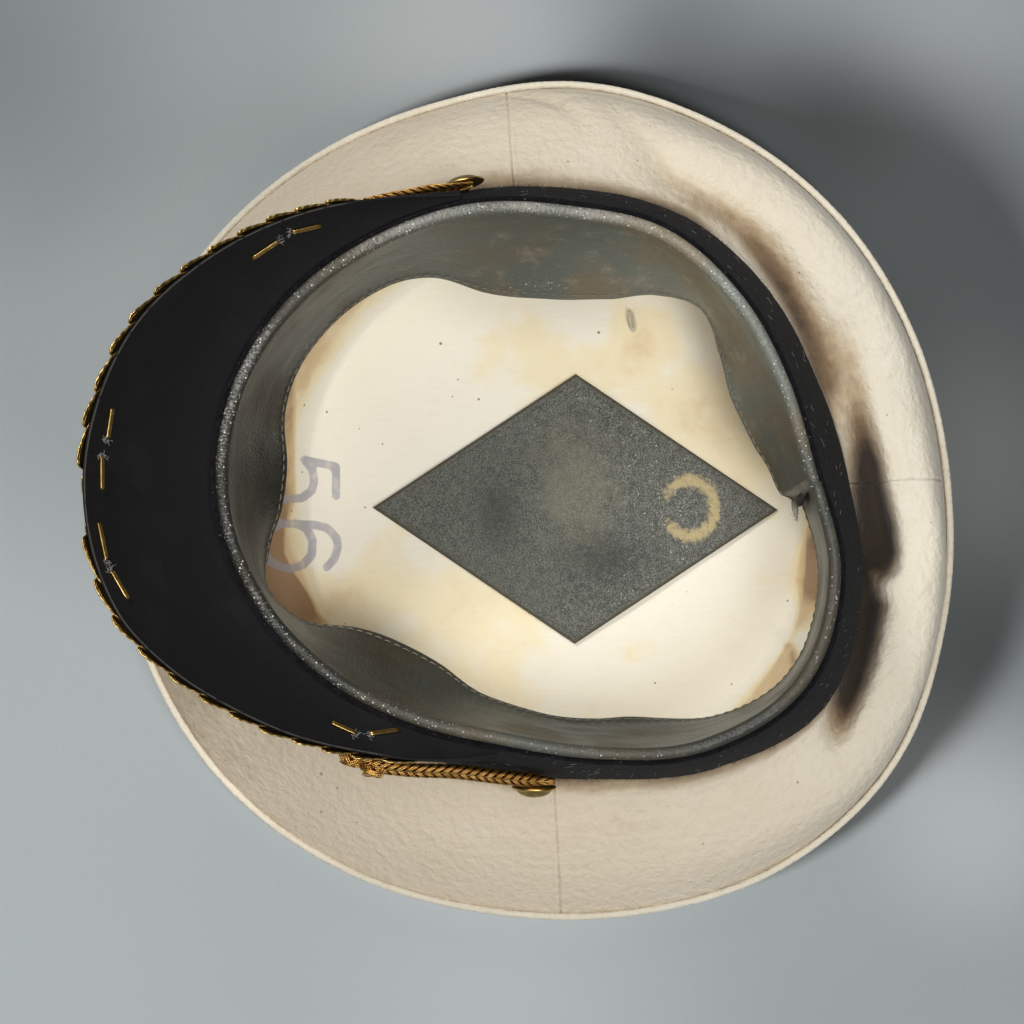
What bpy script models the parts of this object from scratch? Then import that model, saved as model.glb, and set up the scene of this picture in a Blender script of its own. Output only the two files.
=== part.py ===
"""A peaked cap with a white cloth crown, lying upside down on its crown.

+Z is up and -Y is the front of the cap, where the peak is. A turn is an angle round the
crown's middle, in degrees: 0 at the front, growing toward +X. Lengths are in metres.
"""

import math
from collections import namedtuple

import bmesh
import bpy
from mathutils import Matrix, Vector

# Crown
CROWN_RADIUS = 0.135
RIM_LIFT_FRONT = 0.009
RIM_LIFT_REAR = 0.014
QUARTER_RISE_FRONT = 0.047
QUARTER_RISE_REAR = 0.032
CLOTH = 0.0015
PIPING_RADIUS = 0.0012
PIPING_SIDES = 6
PUFF = 0.0035
ROLL = 0.0085
ROLL_ALONG = 0.30
ROLL_SPREAD = 0.24
SAG = 0.0075
SAG_ALONG = 0.80
SAG_SPREAD = 0.20
EDGE_HOLD = 0.15
CREASE_HOLD = 2.5
CREASE_RADIUS = 0.85
CROWN_RINGS = (0.72, 0.82, 0.92, 1.0)
SEAM_TURNS = (0.0, 90.0, 179.0, 270.5, 360.0)

# Band and sweatband
HEAD_ROUND = 0.560
BAND_HEIGHT = 0.042
BAND_FLARE = 0.010
BAND_WALL = 0.0025
BAND_BELLY = 0.0008
BAND_EDGE_OUT = 0.0016
BAND_EDGE_DROP = 0.0008
SWEATBAND_DEPTH = 0.046
SWEATBAND_WALL = 0.0013
ROLLED_EDGE = 0.004
HEM_CURVE = 1.8
JOINT_TURN = 176.5
JOINT_GAP = 0.0012

# Lining and its patch
LINING = 0.0012
FLOOR_FLAT = 0.86
LINING_TOP = 0.12
PATCH_LENGTH = 0.1320
PATCH_WIDTH = 0.0880
PATCH_LEATHER = 0.0013
PATCH_TURN = 3.8
PATCH_RIGHTWARD = 0.0034
PATCH_REARWARD = 0.0130

# Peak, its leaf trim and the tangs that hold the trim
PEAK_FROM = -79.0
PEAK_TO = 78.0
PEAK_REACH = 0.033
PEAK_SLOPE = 47.0
PEAK_BOARD = 0.0026
PEAK_BELLY = 0.0022
TRIM_FROM = -61.0
TRIM_TO = 63.0
TRIM_WIDTH = 0.0130
TRIM_METAL = 0.0008
TRIM_RELIEF = 0.0010
TRIM_OVERHANG = 0.0018
LEAF_PITCH = 0.0095
LEAF_NECK = 0.3
TRIM_INMOST = 0.35
TANG_LENGTH = 0.0090
TANG_WIDTH = 0.0014
TANG_METAL = 0.0005
TANG_TIP_LIFT = 0.0006

# Chin cord, its slides and the side buttons
CORD_WIDTH = 0.0064
CORD_THICKNESS = 0.0034
CORD_LEAN = 45.0
CORD_SIDES = 8
SLIDE_WALL = 0.0018
SLIDE_END = 0.45
SLIDE_SPAN = 7.0
SLIDE_STEPS = 6
SLIDE_TURNS = {"left": -54.0, "right": 54.0}
BUTTON_TURNS = {"left": -80.5, "right": 87.5}
BUTTON_RADIUS = 0.0070
BUTTON_HEIGHT = 0.0050
BUTTON_DROP = 0.0225
BUTTON_SHANK = 0.0012
BUTTON_SIDES = 14

GAP = 0.0003
STEPS_ROUND = 60
CORD_STEPS = 44
LEAF_STEPS = 3
NEAR = 0.02
HEAD_RADIUS = HEAD_ROUND / (2 * math.pi)

# One row for each section of the cap. Shares of: rim, CROWN_RADIUS; mouth and floor, HEAD_RADIUS;
# flare, BAND_FLARE. Slack is 0 where the side cloth is taut and 1 where it hangs loose.
Section = namedtuple("Section", "turn rim mouth flare floor slack")
SECTIONS = (
    Section(0, 1.010, 1.060, 0.90, 0.84, 0.00),
    Section(20, 1.010, 1.000, 0.90, 0.87, 0.00),
    Section(40, 1.010, 0.940, 0.90, 0.89, 0.00),
    Section(60, 1.000, 0.885, 0.85, 0.89, 0.00),
    Section(80, 0.995, 0.860, 0.80, 0.89, 0.05),
    Section(100, 1.020, 0.915, 0.90, 0.93, 0.20),
    Section(120, 1.060, 1.050, 0.85, 1.01, 0.45),
    Section(140, 1.070, 1.120, 1.10, 1.04, 0.80),
    Section(160, 1.025, 1.045, 1.25, 1.02, 1.00),
    Section(180, 0.995, 0.935, 1.30, 0.965, 1.00),
    Section(200, 0.995, 0.920, 1.30, 0.95, 1.00),
    Section(220, 1.005, 0.945, 1.25, 0.95, 0.85),
    Section(240, 1.010, 0.970, 1.20, 0.94, 0.60),
    Section(260, 1.015, 0.950, 1.15, 0.92, 0.40),
    Section(280, 0.990, 0.970, 1.05, 0.92, 0.15),
    Section(300, 0.990, 0.990, 1.05, 0.91, 0.00),
    Section(320, 1.000, 1.035, 1.00, 0.89, 0.00),
    Section(340, 1.010, 1.065, 0.95, 0.86, 0.00),
)

# One row for each bend of the sweatband's hem: how far it is turned in, a share of SWEATBAND_DEPTH.
HemBend = namedtuple("HemBend", "turn reach")
HEM_BENDS = (
    HemBend(0, 0.30),
    HemBend(8, 0.15),
    HemBend(16, 0.05),
    HemBend(25, 0.14),
    HemBend(33, 0.36),
    HemBend(43, 0.42),
    HemBend(57, 0.40),
    HemBend(72, 0.28),
    HemBend(88, 0.23),
    HemBend(110, 0.22),
    HemBend(125, 0.13),
    HemBend(140, 0.07),
    HemBend(155, 0.055),
    HemBend(167, 0.10),
    HemBend(178, 0.19),
    HemBend(190, 0.26),
    HemBend(203, 0.29),
    HemBend(214, 0.23),
    HemBend(225, 0.145),
    HemBend(235, 0.28),
    HemBend(246, 0.46),
    HemBend(270, 0.51),
    HemBend(281, 0.45),
    HemBend(292, 0.31),
    HemBend(302, 0.23),
    HemBend(325, 0.235),
    HemBend(338, 0.29),
    HemBend(350, 0.375),
)

# Creases of the slack side cloth, each from one place to another. Along is 0 at the rim and 1 at
# the band. Depth is a share of SAG, negative for a ridge, and spread a share of CROWN_RADIUS.
Crease = namedtuple("Crease", "turn_a along_a turn_b along_b spread depth")
CREASES = (
    Crease(232, 0.68, 212, 0.86, 0.040, 0.7),
    Crease(212, 0.86, 196, 0.88, 0.036, 0.7),
    Crease(189, 0.68, 174, 0.77, 0.034, 1.1),
    Crease(174, 0.77, 165, 0.62, 0.030, 1.0),
    Crease(163, 0.90, 150, 0.76, 0.038, 1.3),
    Crease(150, 0.76, 139, 0.66, 0.030, 0.9),
    Crease(247, 0.35, 266, 0.12, 0.050, 0.3),
    Crease(120, 0.75, 98, 0.25, 0.050, 0.3),
    Crease(228, 0.30, 250, 0.55, 0.070, -0.3),
)

# One row for each bend of the lining's wall: shares of its way from the floor to its top edge. Out
# holds behind the slack cloth, and the wall is straight behind the taut cloth.
LiningBend = namedtuple("LiningBend", "out up")
LINING_BENDS = (
    LiningBend(-0.02, 0.0),
    LiningBend(0.06, 0.45),
    LiningBend(0.20, 0.70),
    LiningBend(0.60, 0.88),
    LiningBend(1.00, 1.00),
)

# One row for each station of the peak's edge: how far it reaches, a share of PEAK_REACH.
PeakStation = namedtuple("PeakStation", "turn reach")
PEAK_STATIONS = (
    PeakStation(-110, 0.00),
    PeakStation(-79, 0.02),
    PeakStation(-67, 0.11),
    PeakStation(-57, 0.24),
    PeakStation(-47, 0.42),
    PeakStation(-36, 0.61),
    PeakStation(-26, 0.76),
    PeakStation(-16, 0.89),
    PeakStation(-2, 0.98),
    PeakStation(14, 0.93),
    PeakStation(23, 0.80),
    PeakStation(33, 0.63),
    PeakStation(43, 0.46),
    PeakStation(52, 0.32),
    PeakStation(62, 0.21),
    PeakStation(71, 0.12),
    PeakStation(79, 0.03),
    PeakStation(110, 0.00),
    PeakStation(180, 0.00),
)

# The chin cord's own route: out from the band's face and down from the band's head edge, as
# shares of CORD_WIDTH.
CordPoint = namedtuple("CordPoint", "turn out drop")
CORD_ROUTE = (
    CordPoint(-83, 0.70, 2.04),
    CordPoint(-77, 0.78, 1.60),
    CordPoint(-71, 0.90, 1.40),
    CordPoint(-65, 1.05, 1.20),
    CordPoint(-54, 1.20, 1.05),
    CordPoint(-40, 1.15, 0.75),
    CordPoint(-20, 1.10, 0.5),
    CordPoint(0, 1.10, 0.5),
    CordPoint(20, 1.10, 0.5),
    CordPoint(38, 1.40, 0.4),
    CordPoint(48, 1.95, 0.2),
    CordPoint(55, 2.20, 0.2),
    CordPoint(61, 1.85, 0.4),
    CordPoint(70, 1.25, 1.0),
    CordPoint(80, 0.95, 1.6),
    CordPoint(89, 0.64, 1.98),
)

# One row for each ring of a button, from its shank to its crown: shares of its radius and height.
ButtonRing = namedtuple("ButtonRing", "radius rise")
BUTTON_RINGS = (
    ButtonRing(0.25, -0.16),
    ButtonRing(0.25, 0.02),
    ButtonRing(0.95, 0.10),
    ButtonRing(1.00, 0.28),
    ButtonRing(0.92, 0.40),
    ButtonRing(0.84, 0.36),
    ButtonRing(0.62, 0.78),
    ButtonRing(0.32, 0.96),
)

# The tangs that hold the trim, each bent over on the peak's inner face: the turn and the share of
# the way from the root to the edge where it comes through, and the heading of its bent end, in
# degrees from the direction of growing turns toward the root.
Tang = namedtuple("Tang", "turn across heading")
TANGS = (
    Tang(-49.5, 0.60, 166),
    Tang(-47, 0.58, 0),
    Tang(-9, 0.82, 187),
    Tang(-6.5, 0.85, 3),
    Tang(7, 0.88, 180),
    Tang(8.5, 0.87, 14),
    Tang(50.5, 0.60, 177),
    Tang(52.5, 0.52, 20),
)


def clear_scene():
    for thing in list(bpy.data.objects):
        bpy.data.objects.remove(thing, do_unlink=True)


def finish_of(name, colour, roughness, metallic=0.0):
    material = bpy.data.materials.new(name)
    material.use_nodes = True
    shader = material.node_tree.nodes["Principled BSDF"]
    shader.inputs["Base Color"].default_value = (*colour, 1.0)
    shader.inputs["Roughness"].default_value = roughness
    shader.inputs["Metallic"].default_value = metallic
    return material


# Curves through the tables


def around(rows, column, turn):
    """A smooth closed curve through one column of a table, read at a turn."""
    turns = [row.turn for row in rows]
    values = [getattr(row, column) for row in rows]
    turn = (turn - turns[0]) % 360 + turns[0]
    count = len(rows)
    i = max(k for k in range(count) if turns[k] <= turn)

    def row_at(k):
        return turns[k % count] + 360 * (k // count), values[k % count]

    (t0, v0), (t1, v1), (t2, v2), (t3, v3) = (row_at(i + k) for k in (-1, 0, 1, 2))
    slope_1 = (v2 - v0) / (t2 - t0)
    slope_2 = (v3 - v1) / (t3 - t1)
    span = t2 - t1
    x = (turn - t1) / span
    rise = 3 * x**2 - 2 * x**3
    leave = (x**3 - 2 * x**2 + x) * slope_1 * span
    arrive = (x**3 - x**2) * slope_2 * span
    return v1 + (v2 - v1) * rise + leave + arrive


def front_to_rear(front, rear, turn):
    return (front + rear) / 2 + (front - rear) / 2 * math.cos(math.radians(turn))


def blend(a, b, share):
    return a + (b - a) * share


def place(turn, radius, height):
    angle = math.radians(turn)
    return Vector((math.sin(angle) * radius, -math.cos(angle) * radius, height))


def outward(turn):
    return place(turn, 1.0, 0.0)


def forward(turn):
    """The direction of growing turns."""
    return place(turn + 90, 1.0, 0.0)


def turns_between(start, stop, steps):
    return [blend(start, stop, k / steps) for k in range(steps + 1)]


def shares(steps):
    return [k / steps for k in range(steps + 1)]


# Main lines of the cap


def rim_radius(turn):
    return CROWN_RADIUS * around(SECTIONS, "rim", turn)


def rim_height(turn):
    return front_to_rear(RIM_LIFT_FRONT, RIM_LIFT_REAR, turn)


def band_foot_height(turn):
    return rim_height(turn) + front_to_rear(QUARTER_RISE_FRONT, QUARTER_RISE_REAR, turn)


def mouth_radius(turn):
    return HEAD_RADIUS * around(SECTIONS, "mouth", turn)


def mouth_height(turn):
    return band_foot_height(turn) + BAND_HEIGHT


def band_point(turn, up, inset=0.0):
    """The band's outer face, from its crown edge at up 0 to its head edge at up 1."""
    foot = mouth_radius(turn) + BAND_FLARE * around(SECTIONS, "flare", turn)
    head = mouth_radius(turn) + BAND_EDGE_OUT
    radius = blend(foot, head, up) + BAND_BELLY * math.sin(math.pi * up) - inset
    height = blend(band_foot_height(turn), mouth_height(turn) - BAND_EDGE_DROP, up)
    return place(turn, radius, height)


def band_face_radius(turn, height):
    foot = band_foot_height(turn)
    up = (height - foot) / (mouth_height(turn) - BAND_EDGE_DROP - foot)
    return band_point(turn, up).xy.length


# Making meshes


def add_object(name, bm, material, smooth=True):
    bmesh.ops.recalc_face_normals(bm, faces=bm.faces)
    mesh = bpy.data.meshes.new(name)
    bm.to_mesh(mesh)
    bm.free()
    mesh.materials.append(material)
    if smooth:
        mesh.shade_smooth()
        mesh.set_sharp_from_angle(angle=math.radians(50))
    thing = bpy.data.objects.new(name, mesh)
    bpy.context.scene.collection.objects.link(thing)
    return thing


def grid_mesh(rows, close_rows=False, close_columns=False):
    """A mesh of quads through rows of points. Rows or columns may run round to their start."""
    bm = bmesh.new()
    verts = [[bm.verts.new(point) for point in row] for row in rows]
    last_row = len(rows) if close_rows else len(rows) - 1
    last_column = len(rows[0]) if close_columns else len(rows[0]) - 1
    for i in range(last_row):
        for j in range(last_column):
            upper = verts[(i + 1) % len(rows)]
            lower = verts[i]
            k = (j + 1) % len(lower)
            bm.faces.new((lower[j], upper[j], upper[k], lower[k]))
    return bm, verts


def lined_floor(name, rows, wall, material, wall_side):
    """A cloth wall through rows of points, each row running outward from a flat floor."""
    bm, verts = grid_mesh(rows, close_rows=True)
    bm.faces.new([row[0] for row in verts][::-1])
    mesh = bpy.data.meshes.new(name)
    bm.to_mesh(mesh)
    bm.free()
    mesh.materials.append(material)
    mesh.shade_smooth()
    thing = bpy.data.objects.new(name, mesh)
    bpy.context.scene.collection.objects.link(thing)
    solid = thing.modifiers.new("Wall", "SOLIDIFY")
    solid.thickness = wall
    solid.offset = wall_side
    return thing


def wall_ring(face, turn, wall):
    """A section's ring: the points of its seen face, then the same ones moved back by the wall."""
    back = []
    for k, point in enumerate(face):
        run = face[min(k + 1, len(face) - 1)] - face[max(k - 1, 0)]
        back.append(point - forward(turn).cross(run).normalized() * wall)
    return face + back[::-1]


def swept(name, sections, material, close_rows=False):
    """A body through rings of points, with flat ends where it doesn't run round to its start."""
    bm, verts = grid_mesh(sections, close_rows=close_rows, close_columns=True)
    if not close_rows:
        bm.faces.new(verts[0])
        bm.faces.new(verts[-1])
    return add_object(name, bm, material)


# Crown


def crown_top_point(turn, out):
    """The face that the cap lies on: flat in the middle, then rising to the rim."""
    edge = rim_radius(turn) - 2 * PIPING_RADIUS - GAP
    flat = CROWN_RINGS[0] * rim_radius(turn)
    lift = rim_height(turn) - CLOTH - GAP
    share = max(0.0, (blend(0.0, edge, out) - flat) / (edge - flat))
    return place(turn, blend(0.0, edge, out), lift * share**2)


def crown_top(material):
    edge_share = 1 - (2 * PIPING_RADIUS + GAP) / CROWN_RADIUS
    rings = [min(1.0, ring / edge_share) for ring in CROWN_RINGS]
    rows = [
        [crown_top_point(turn, out) for out in rings]
        for turn in turns_between(0, 360, STEPS_ROUND)[:-1]
    ]
    return lined_floor("crown_top", rows, CLOTH, material, wall_side=-1)


def crease_depth(turn, along):
    """How far the creases pull the side cloth in at one place."""
    depth = 0.0
    length = math.hypot(rim_radius(turn) - mouth_radius(turn), QUARTER_RISE_REAR)
    arc = math.radians(1) * CROWN_RADIUS * CREASE_RADIUS
    for crease in CREASES:
        ax, ay = crease.turn_a * arc, crease.along_a * length
        bx, by = crease.turn_b * arc, crease.along_b * length
        px, py = turn * arc, along * length
        run = ((px - ax) * (bx - ax) + (py - ay) * (by - ay)) / ((bx - ax) ** 2 + (by - ay) ** 2)
        run = min(1.0, max(0.0, run))
        apart = math.hypot(px - blend(ax, bx, run), py - blend(ay, by, run))
        depth += crease.depth * SAG * math.exp(-((apart / (crease.spread * CROWN_RADIUS)) ** 2))
    return depth


def quarter_point(turn, along):
    """The side cloth from the rim at along 0 to the band at along 1."""
    low_radius = rim_radius(turn) - 2 * PIPING_RADIUS + GAP
    low = place(turn, low_radius, rim_height(turn) + PIPING_RADIUS)
    slack = around(SECTIONS, "slack", turn)
    high = band_point(turn, 0.0, inset=BAND_WALL / 2)
    high.z -= 1.5 * GAP + slack * CLOTH / 2
    chord = high - low
    across = outward(turn) * chord.z - Vector((0, 0, 1)) * chord.dot(outward(turn))
    across.normalize()
    fade = math.sin(math.pi * along)
    puff = PUFF * (1 - slack) * fade
    roll = ROLL * slack * math.exp(-(((along - ROLL_ALONG) / ROLL_SPREAD) ** 2))
    roll *= min(1.0, along / EDGE_HOLD)
    sag = SAG * slack * math.exp(-(((along - SAG_ALONG) / SAG_SPREAD) ** 2))
    sag *= min(1.0, (1 - along) / EDGE_HOLD)
    creased = crease_depth(turn, along) * min(1.0, CREASE_HOLD * fade)
    return low + chord * along + across * (puff + roll - sag - creased)


def quarter(name, start, stop, steps_along, material):
    trim = math.degrees(GAP / 2 / CROWN_RADIUS)
    sections = []
    for turn in turns_between(start + trim, stop - trim, STEPS_ROUND // 4):
        face = [quarter_point(turn, along) for along in shares(steps_along)]
        sections.append(wall_ring(face, turn, CLOTH))
    return swept(name, sections, material)


def quarters(material):
    names = ("quarter_front_right", "quarter_rear_right", "quarter_rear_left", "quarter_front_left")
    steps = {"front": 6, "rear": 11}
    made = []
    for name, start, stop in zip(names, SEAM_TURNS, SEAM_TURNS[1:]):
        steps_along = steps["rear" if "rear" in name else "front"]
        made.append(quarter(name, start, stop, steps_along, material))
    return made


def edge_piping(material):
    sections = []
    for turn in turns_between(0, 360, STEPS_ROUND)[:-1]:
        middle = place(turn, rim_radius(turn) - PIPING_RADIUS, rim_height(turn))
        ring = []
        for k in range(PIPING_SIDES):
            angle = 2 * math.pi * k / PIPING_SIDES
            ring.append(
                middle
                + outward(turn) * PIPING_RADIUS * math.cos(angle)
                + Vector((0, 0, PIPING_RADIUS * math.sin(angle)))
            )
        sections.append(ring)
    return swept("edge_piping", sections, material, close_rows=True)


# Band and sweatband


def cap_band(material):
    sections = []
    for turn in turns_between(0, 360, STEPS_ROUND)[:-1]:
        face = [band_point(turn, up) for up in shares(3)]
        sections.append(wall_ring(face, turn, BAND_WALL))
    return swept("cap_band", sections, material, close_rows=True)


def hem_reach(turn):
    return SWEATBAND_DEPTH * around(HEM_BENDS, "reach", turn)


def sweatband_section(turn):
    """From the outer lip over the rolled edge and down the inside to the turned-in hem."""
    head = mouth_height(turn)
    half = ROLLED_EDGE / 2
    points = []
    for k in range(4):
        angle = math.radians(180 - 60 * k)
        radius = mouth_radius(turn) - half + half * math.cos(angle + math.pi)
        points.append(place(turn, radius, head + half * math.sin(angle)))
    reach = hem_reach(turn) - ROLLED_EDGE
    drop = math.sqrt(SWEATBAND_DEPTH**2 - reach**2)
    for share in (0.2, 0.5, 0.78, 1.0):
        radius = mouth_radius(turn) - ROLLED_EDGE - reach * share**HEM_CURVE
        points.append(place(turn, radius, head - drop * share))
    return points


def sweatband(material):
    half_gap = math.degrees(JOINT_GAP / 2 / HEAD_RADIUS)
    start = JOINT_TURN + half_gap
    stop = JOINT_TURN + 360 - half_gap
    sections = []
    for turn in turns_between(start, stop, STEPS_ROUND):
        sections.append(wall_ring(sweatband_section(turn), turn, SWEATBAND_WALL))
    return swept("sweatband", sections, material)


# Lining and patch


def lining_floor_height():
    return CLOTH + GAP + LINING


def lining_section(turn):
    """The lining's inner face: the edge of its floor, then up to the inside of the band."""
    floor_radius = HEAD_RADIUS * around(SECTIONS, "floor", turn)
    floor = lining_floor_height()
    top = blend(band_foot_height(turn), mouth_height(turn), LINING_TOP)
    edge = band_face_radius(turn, top) - BAND_WALL - 2 * GAP - LINING
    points = [place(turn, floor_radius * FLOOR_FLAT, floor)]
    slack = around(SECTIONS, "slack", turn)
    for bend in LINING_BENDS:
        radius = blend(floor_radius, edge, blend(bend.up, bend.out, slack))
        points.append(place(turn, radius, blend(floor, top, bend.up)))
    return points


def lining(material):
    rows = [lining_section(turn) for turn in turns_between(0, 360, STEPS_ROUND)[:-1]]
    return lined_floor("lining", rows, LINING, material, wall_side=1)


def lining_patch(material):
    """A diamond that lies on the lining's floor, its long way from front to back."""
    half_long, half_wide = PATCH_LENGTH / 2, PATCH_WIDTH / 2
    corners = ((0, -half_long), (half_wide, 0), (0, half_long), (-half_wide, 0))
    turned = Matrix.Rotation(math.radians(-PATCH_TURN), 3, "Z")
    base = lining_floor_height() + GAP
    bm = bmesh.new()
    lower = []
    for x, y in corners:
        point = turned @ Vector((x, y, 0)) + Vector((PATCH_RIGHTWARD, PATCH_REARWARD, base))
        lower.append(bm.verts.new(point))
    face = bm.faces.new(lower)
    made = bmesh.ops.extrude_face_region(bm, geom=[face])["geom"]
    raised = [item for item in made if isinstance(item, bmesh.types.BMVert)]
    bmesh.ops.translate(bm, verts=raised, vec=(0, 0, PATCH_LEATHER))
    return add_object("lining_patch", bm, material, smooth=False)


# Peak


def peak_reach(turn):
    return PEAK_REACH * max(0.0, around(PEAK_STATIONS, "reach", turn))


def peak_point(turn, across, below=0.0):
    """The peak's inner face, from its root at across 0 to its edge at 1, or a face below it."""
    rise = math.tan(math.radians(PEAK_SLOPE))
    root = band_point(turn, 1.0) + outward(turn) * GAP
    slope = Vector((0, 0, rise)) + outward(turn)
    normal = (Vector((0, 0, 1)) - outward(turn) * rise).normalized()
    belly = PEAK_BELLY * 4 * across * (1 - across) * around(PEAK_STATIONS, "reach", turn)
    return root + slope * peak_reach(turn) * across - normal * (belly + below)


def peak_frame(turn, across):
    """Axes on the peak's inner face: x along growing turns, y toward the root, z out of the face."""
    along = peak_point(turn + NEAR, across) - peak_point(turn - NEAR, across)
    edge = peak_point(turn, across + NEAR) - peak_point(turn, across - NEAR)
    z = edge.cross(along).normalized()
    x = along.normalized()
    y = z.cross(x)
    axes = Matrix((x, y, z)).transposed().to_4x4()
    return Matrix.Translation(peak_point(turn, across)) @ axes


def prism(name, outline, width, matrix):
    """A bar of one width whose side view is the outline, in the x and z of the matrix."""
    bm = bmesh.new()
    near = [bm.verts.new(matrix @ Vector((x, -width / 2, z))) for x, z in outline]
    far = [bm.verts.new(matrix @ Vector((x, width / 2, z))) for x, z in outline]
    bm.faces.new(near)
    bm.faces.new(far[::-1])
    for k in range(len(outline)):
        after = (k + 1) % len(outline)
        bm.faces.new((near[k], far[k], far[after], near[after]))
    bmesh.ops.recalc_face_normals(bm, faces=bm.faces)
    mesh = bpy.data.meshes.new(name)
    bm.to_mesh(mesh)
    bm.free()
    thing = bpy.data.objects.new(name, mesh)
    bpy.context.scene.collection.objects.link(thing)
    return thing


def hide_cutter(thing):
    thing.hide_render = True
    thing.display_type = "WIRE"


def combine(thing, other, operation):
    modifier = thing.modifiers.new(operation.title(), "BOOLEAN")
    modifier.operation = operation
    modifier.solver = "EXACT"
    modifier.object = other


def tang_matrix(tang):
    heading = Matrix.Rotation(math.radians(tang.heading), 4, "Z")
    return peak_frame(tang.turn, tang.across) @ heading


def peak(material):
    sections = []
    for turn in turns_between(PEAK_FROM, PEAK_TO, STEPS_ROUND // 2):
        face = [peak_point(turn, across) for across in shares(4)]
        back = [peak_point(turn, across, PEAK_BOARD) for across in shares(4)]
        sections.append(face + back[::-1])
    board = swept("peak", sections, material)
    for k, tang in enumerate(TANGS):
        low, high = -2 * PEAK_BOARD, PEAK_BOARD
        slit = ((-GAP, low), (TANG_METAL + GAP, low), (TANG_METAL + GAP, high), (-GAP, high))
        cutter = prism(f"slit_cutter_{k + 1}", slit, TANG_WIDTH + 2 * GAP, tang_matrix(tang))
        hide_cutter(cutter)
        combine(board, cutter, "DIFFERENCE")
    return board


def leaf_count():
    """As many leaves as fit along the trimmed stretch of the peak's edge."""
    edge = [peak_point(turn, 1.0) for turn in turns_between(TRIM_FROM, TRIM_TO, STEPS_ROUND)]
    length = sum((after - here).length for here, after in zip(edge, edge[1:]))
    return max(1, round(length / LEAF_PITCH))


def leaf_section(turn, swell):
    """The trim across its width. Swell is 0 between two leaves and 1 at a leaf's widest."""
    full = blend(LEAF_NECK, 1.0, swell)
    slope_length = peak_reach(turn) / math.cos(math.radians(PEAK_SLOPE))
    inner = max(TRIM_INMOST, 1 - TRIM_WIDTH / slope_length)
    outer = 1 + TRIM_OVERHANG * full / slope_length
    middle = (inner + outer) / 2
    back = PEAK_BOARD + GAP
    low = [peak_point(turn, across, back) for across in (inner, middle, outer)]
    high = [peak_point(turn, across, back + TRIM_METAL) for across in (inner, middle, outer)]
    high[1] = peak_point(turn, middle, back + TRIM_METAL + TRIM_RELIEF * full)
    return low + high[::-1]


def leaf_trim(material):
    leaves = leaf_count()
    rows = []
    for k in range(leaves * LEAF_STEPS + 1):
        turn = blend(TRIM_FROM, TRIM_TO, k / (leaves * LEAF_STEPS))
        rows.append(leaf_section(turn, math.sin(math.pi * (k % LEAF_STEPS) / LEAF_STEPS)))
    trim = swept("leaf_trim", rows, material)
    for k, tang in enumerate(TANGS):
        low = -(PEAK_BOARD + GAP + TRIM_METAL / 2)
        high = GAP + TANG_METAL
        bent = (
            (0, low),
            (TANG_METAL, low),
            (TANG_METAL, GAP),
            (TANG_LENGTH, GAP + TANG_TIP_LIFT),
            (TANG_LENGTH, high + TANG_TIP_LIFT),
            (0, high),
        )
        piece = prism(f"bent_tang_{k + 1}", bent, TANG_WIDTH, tang_matrix(tang))
        hide_cutter(piece)
        combine(trim, piece, "UNION")
    return trim


# Chin cord


def cord_centre(turn):
    out = CORD_WIDTH * around(CORD_ROUTE, "out", turn)
    height = mouth_height(turn) - CORD_WIDTH * around(CORD_ROUTE, "drop", turn)
    return place(turn, band_face_radius(turn, height) + out, height)


def cord_ring(turn, grow=0.0):
    """An oval section of the cord, leaning with the slope of the peak."""
    lean = math.radians(CORD_LEAN)
    wide = outward(turn) * math.cos(lean) + Vector((0, 0, math.sin(lean)))
    thick = Vector((0, 0, math.cos(lean))) - outward(turn) * math.sin(lean)
    ring = []
    for k in range(CORD_SIDES):
        angle = 2 * math.pi * k / CORD_SIDES
        ring.append(
            cord_centre(turn)
            + wide * (CORD_WIDTH / 2 + grow) * math.cos(angle)
            + thick * (CORD_THICKNESS / 2 + grow) * math.sin(angle)
        )
    return ring


def cord_station_turn(station):
    start, stop = CORD_ROUTE[0].turn, CORD_ROUTE[-1].turn
    return blend(start, stop, station / CORD_STEPS)


def cord_ring_between(station, grow):
    """A section at any place along the faceted cord, between two of its stations."""
    low = min(CORD_STEPS - 1, int(station))
    first = cord_ring(cord_station_turn(low), grow)
    second = cord_ring(cord_station_turn(low + 1), grow)
    return [a.lerp(b, station - low) for a, b in zip(first, second)]


def chin_cord(material):
    sections = [cord_ring(cord_station_turn(k)) for k in range(CORD_STEPS + 1)]
    return swept("chin_cord", sections, material)


def cord_slide(side, material):
    """A knotted sleeve that the cord runs through."""
    start, stop = CORD_ROUTE[0].turn, CORD_ROUTE[-1].turn
    middle = (SLIDE_TURNS[side] - start) / (stop - start) * CORD_STEPS
    reach = SLIDE_SPAN / 2 / (stop - start) * CORD_STEPS
    inner, outer = [], []
    for share in shares(SLIDE_STEPS):
        across = 2 * share - 1
        swell = SLIDE_WALL * blend(SLIDE_END, 1.0, math.sqrt(1 - across**2))
        station = middle + reach * across
        inner.append(cord_ring_between(station, GAP))
        outer.append(cord_ring_between(station, GAP + swell))
    bm, _ = grid_mesh(outer + inner[::-1], close_rows=True, close_columns=True)
    return add_object(f"cord_slide_{side}", bm, material)


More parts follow.
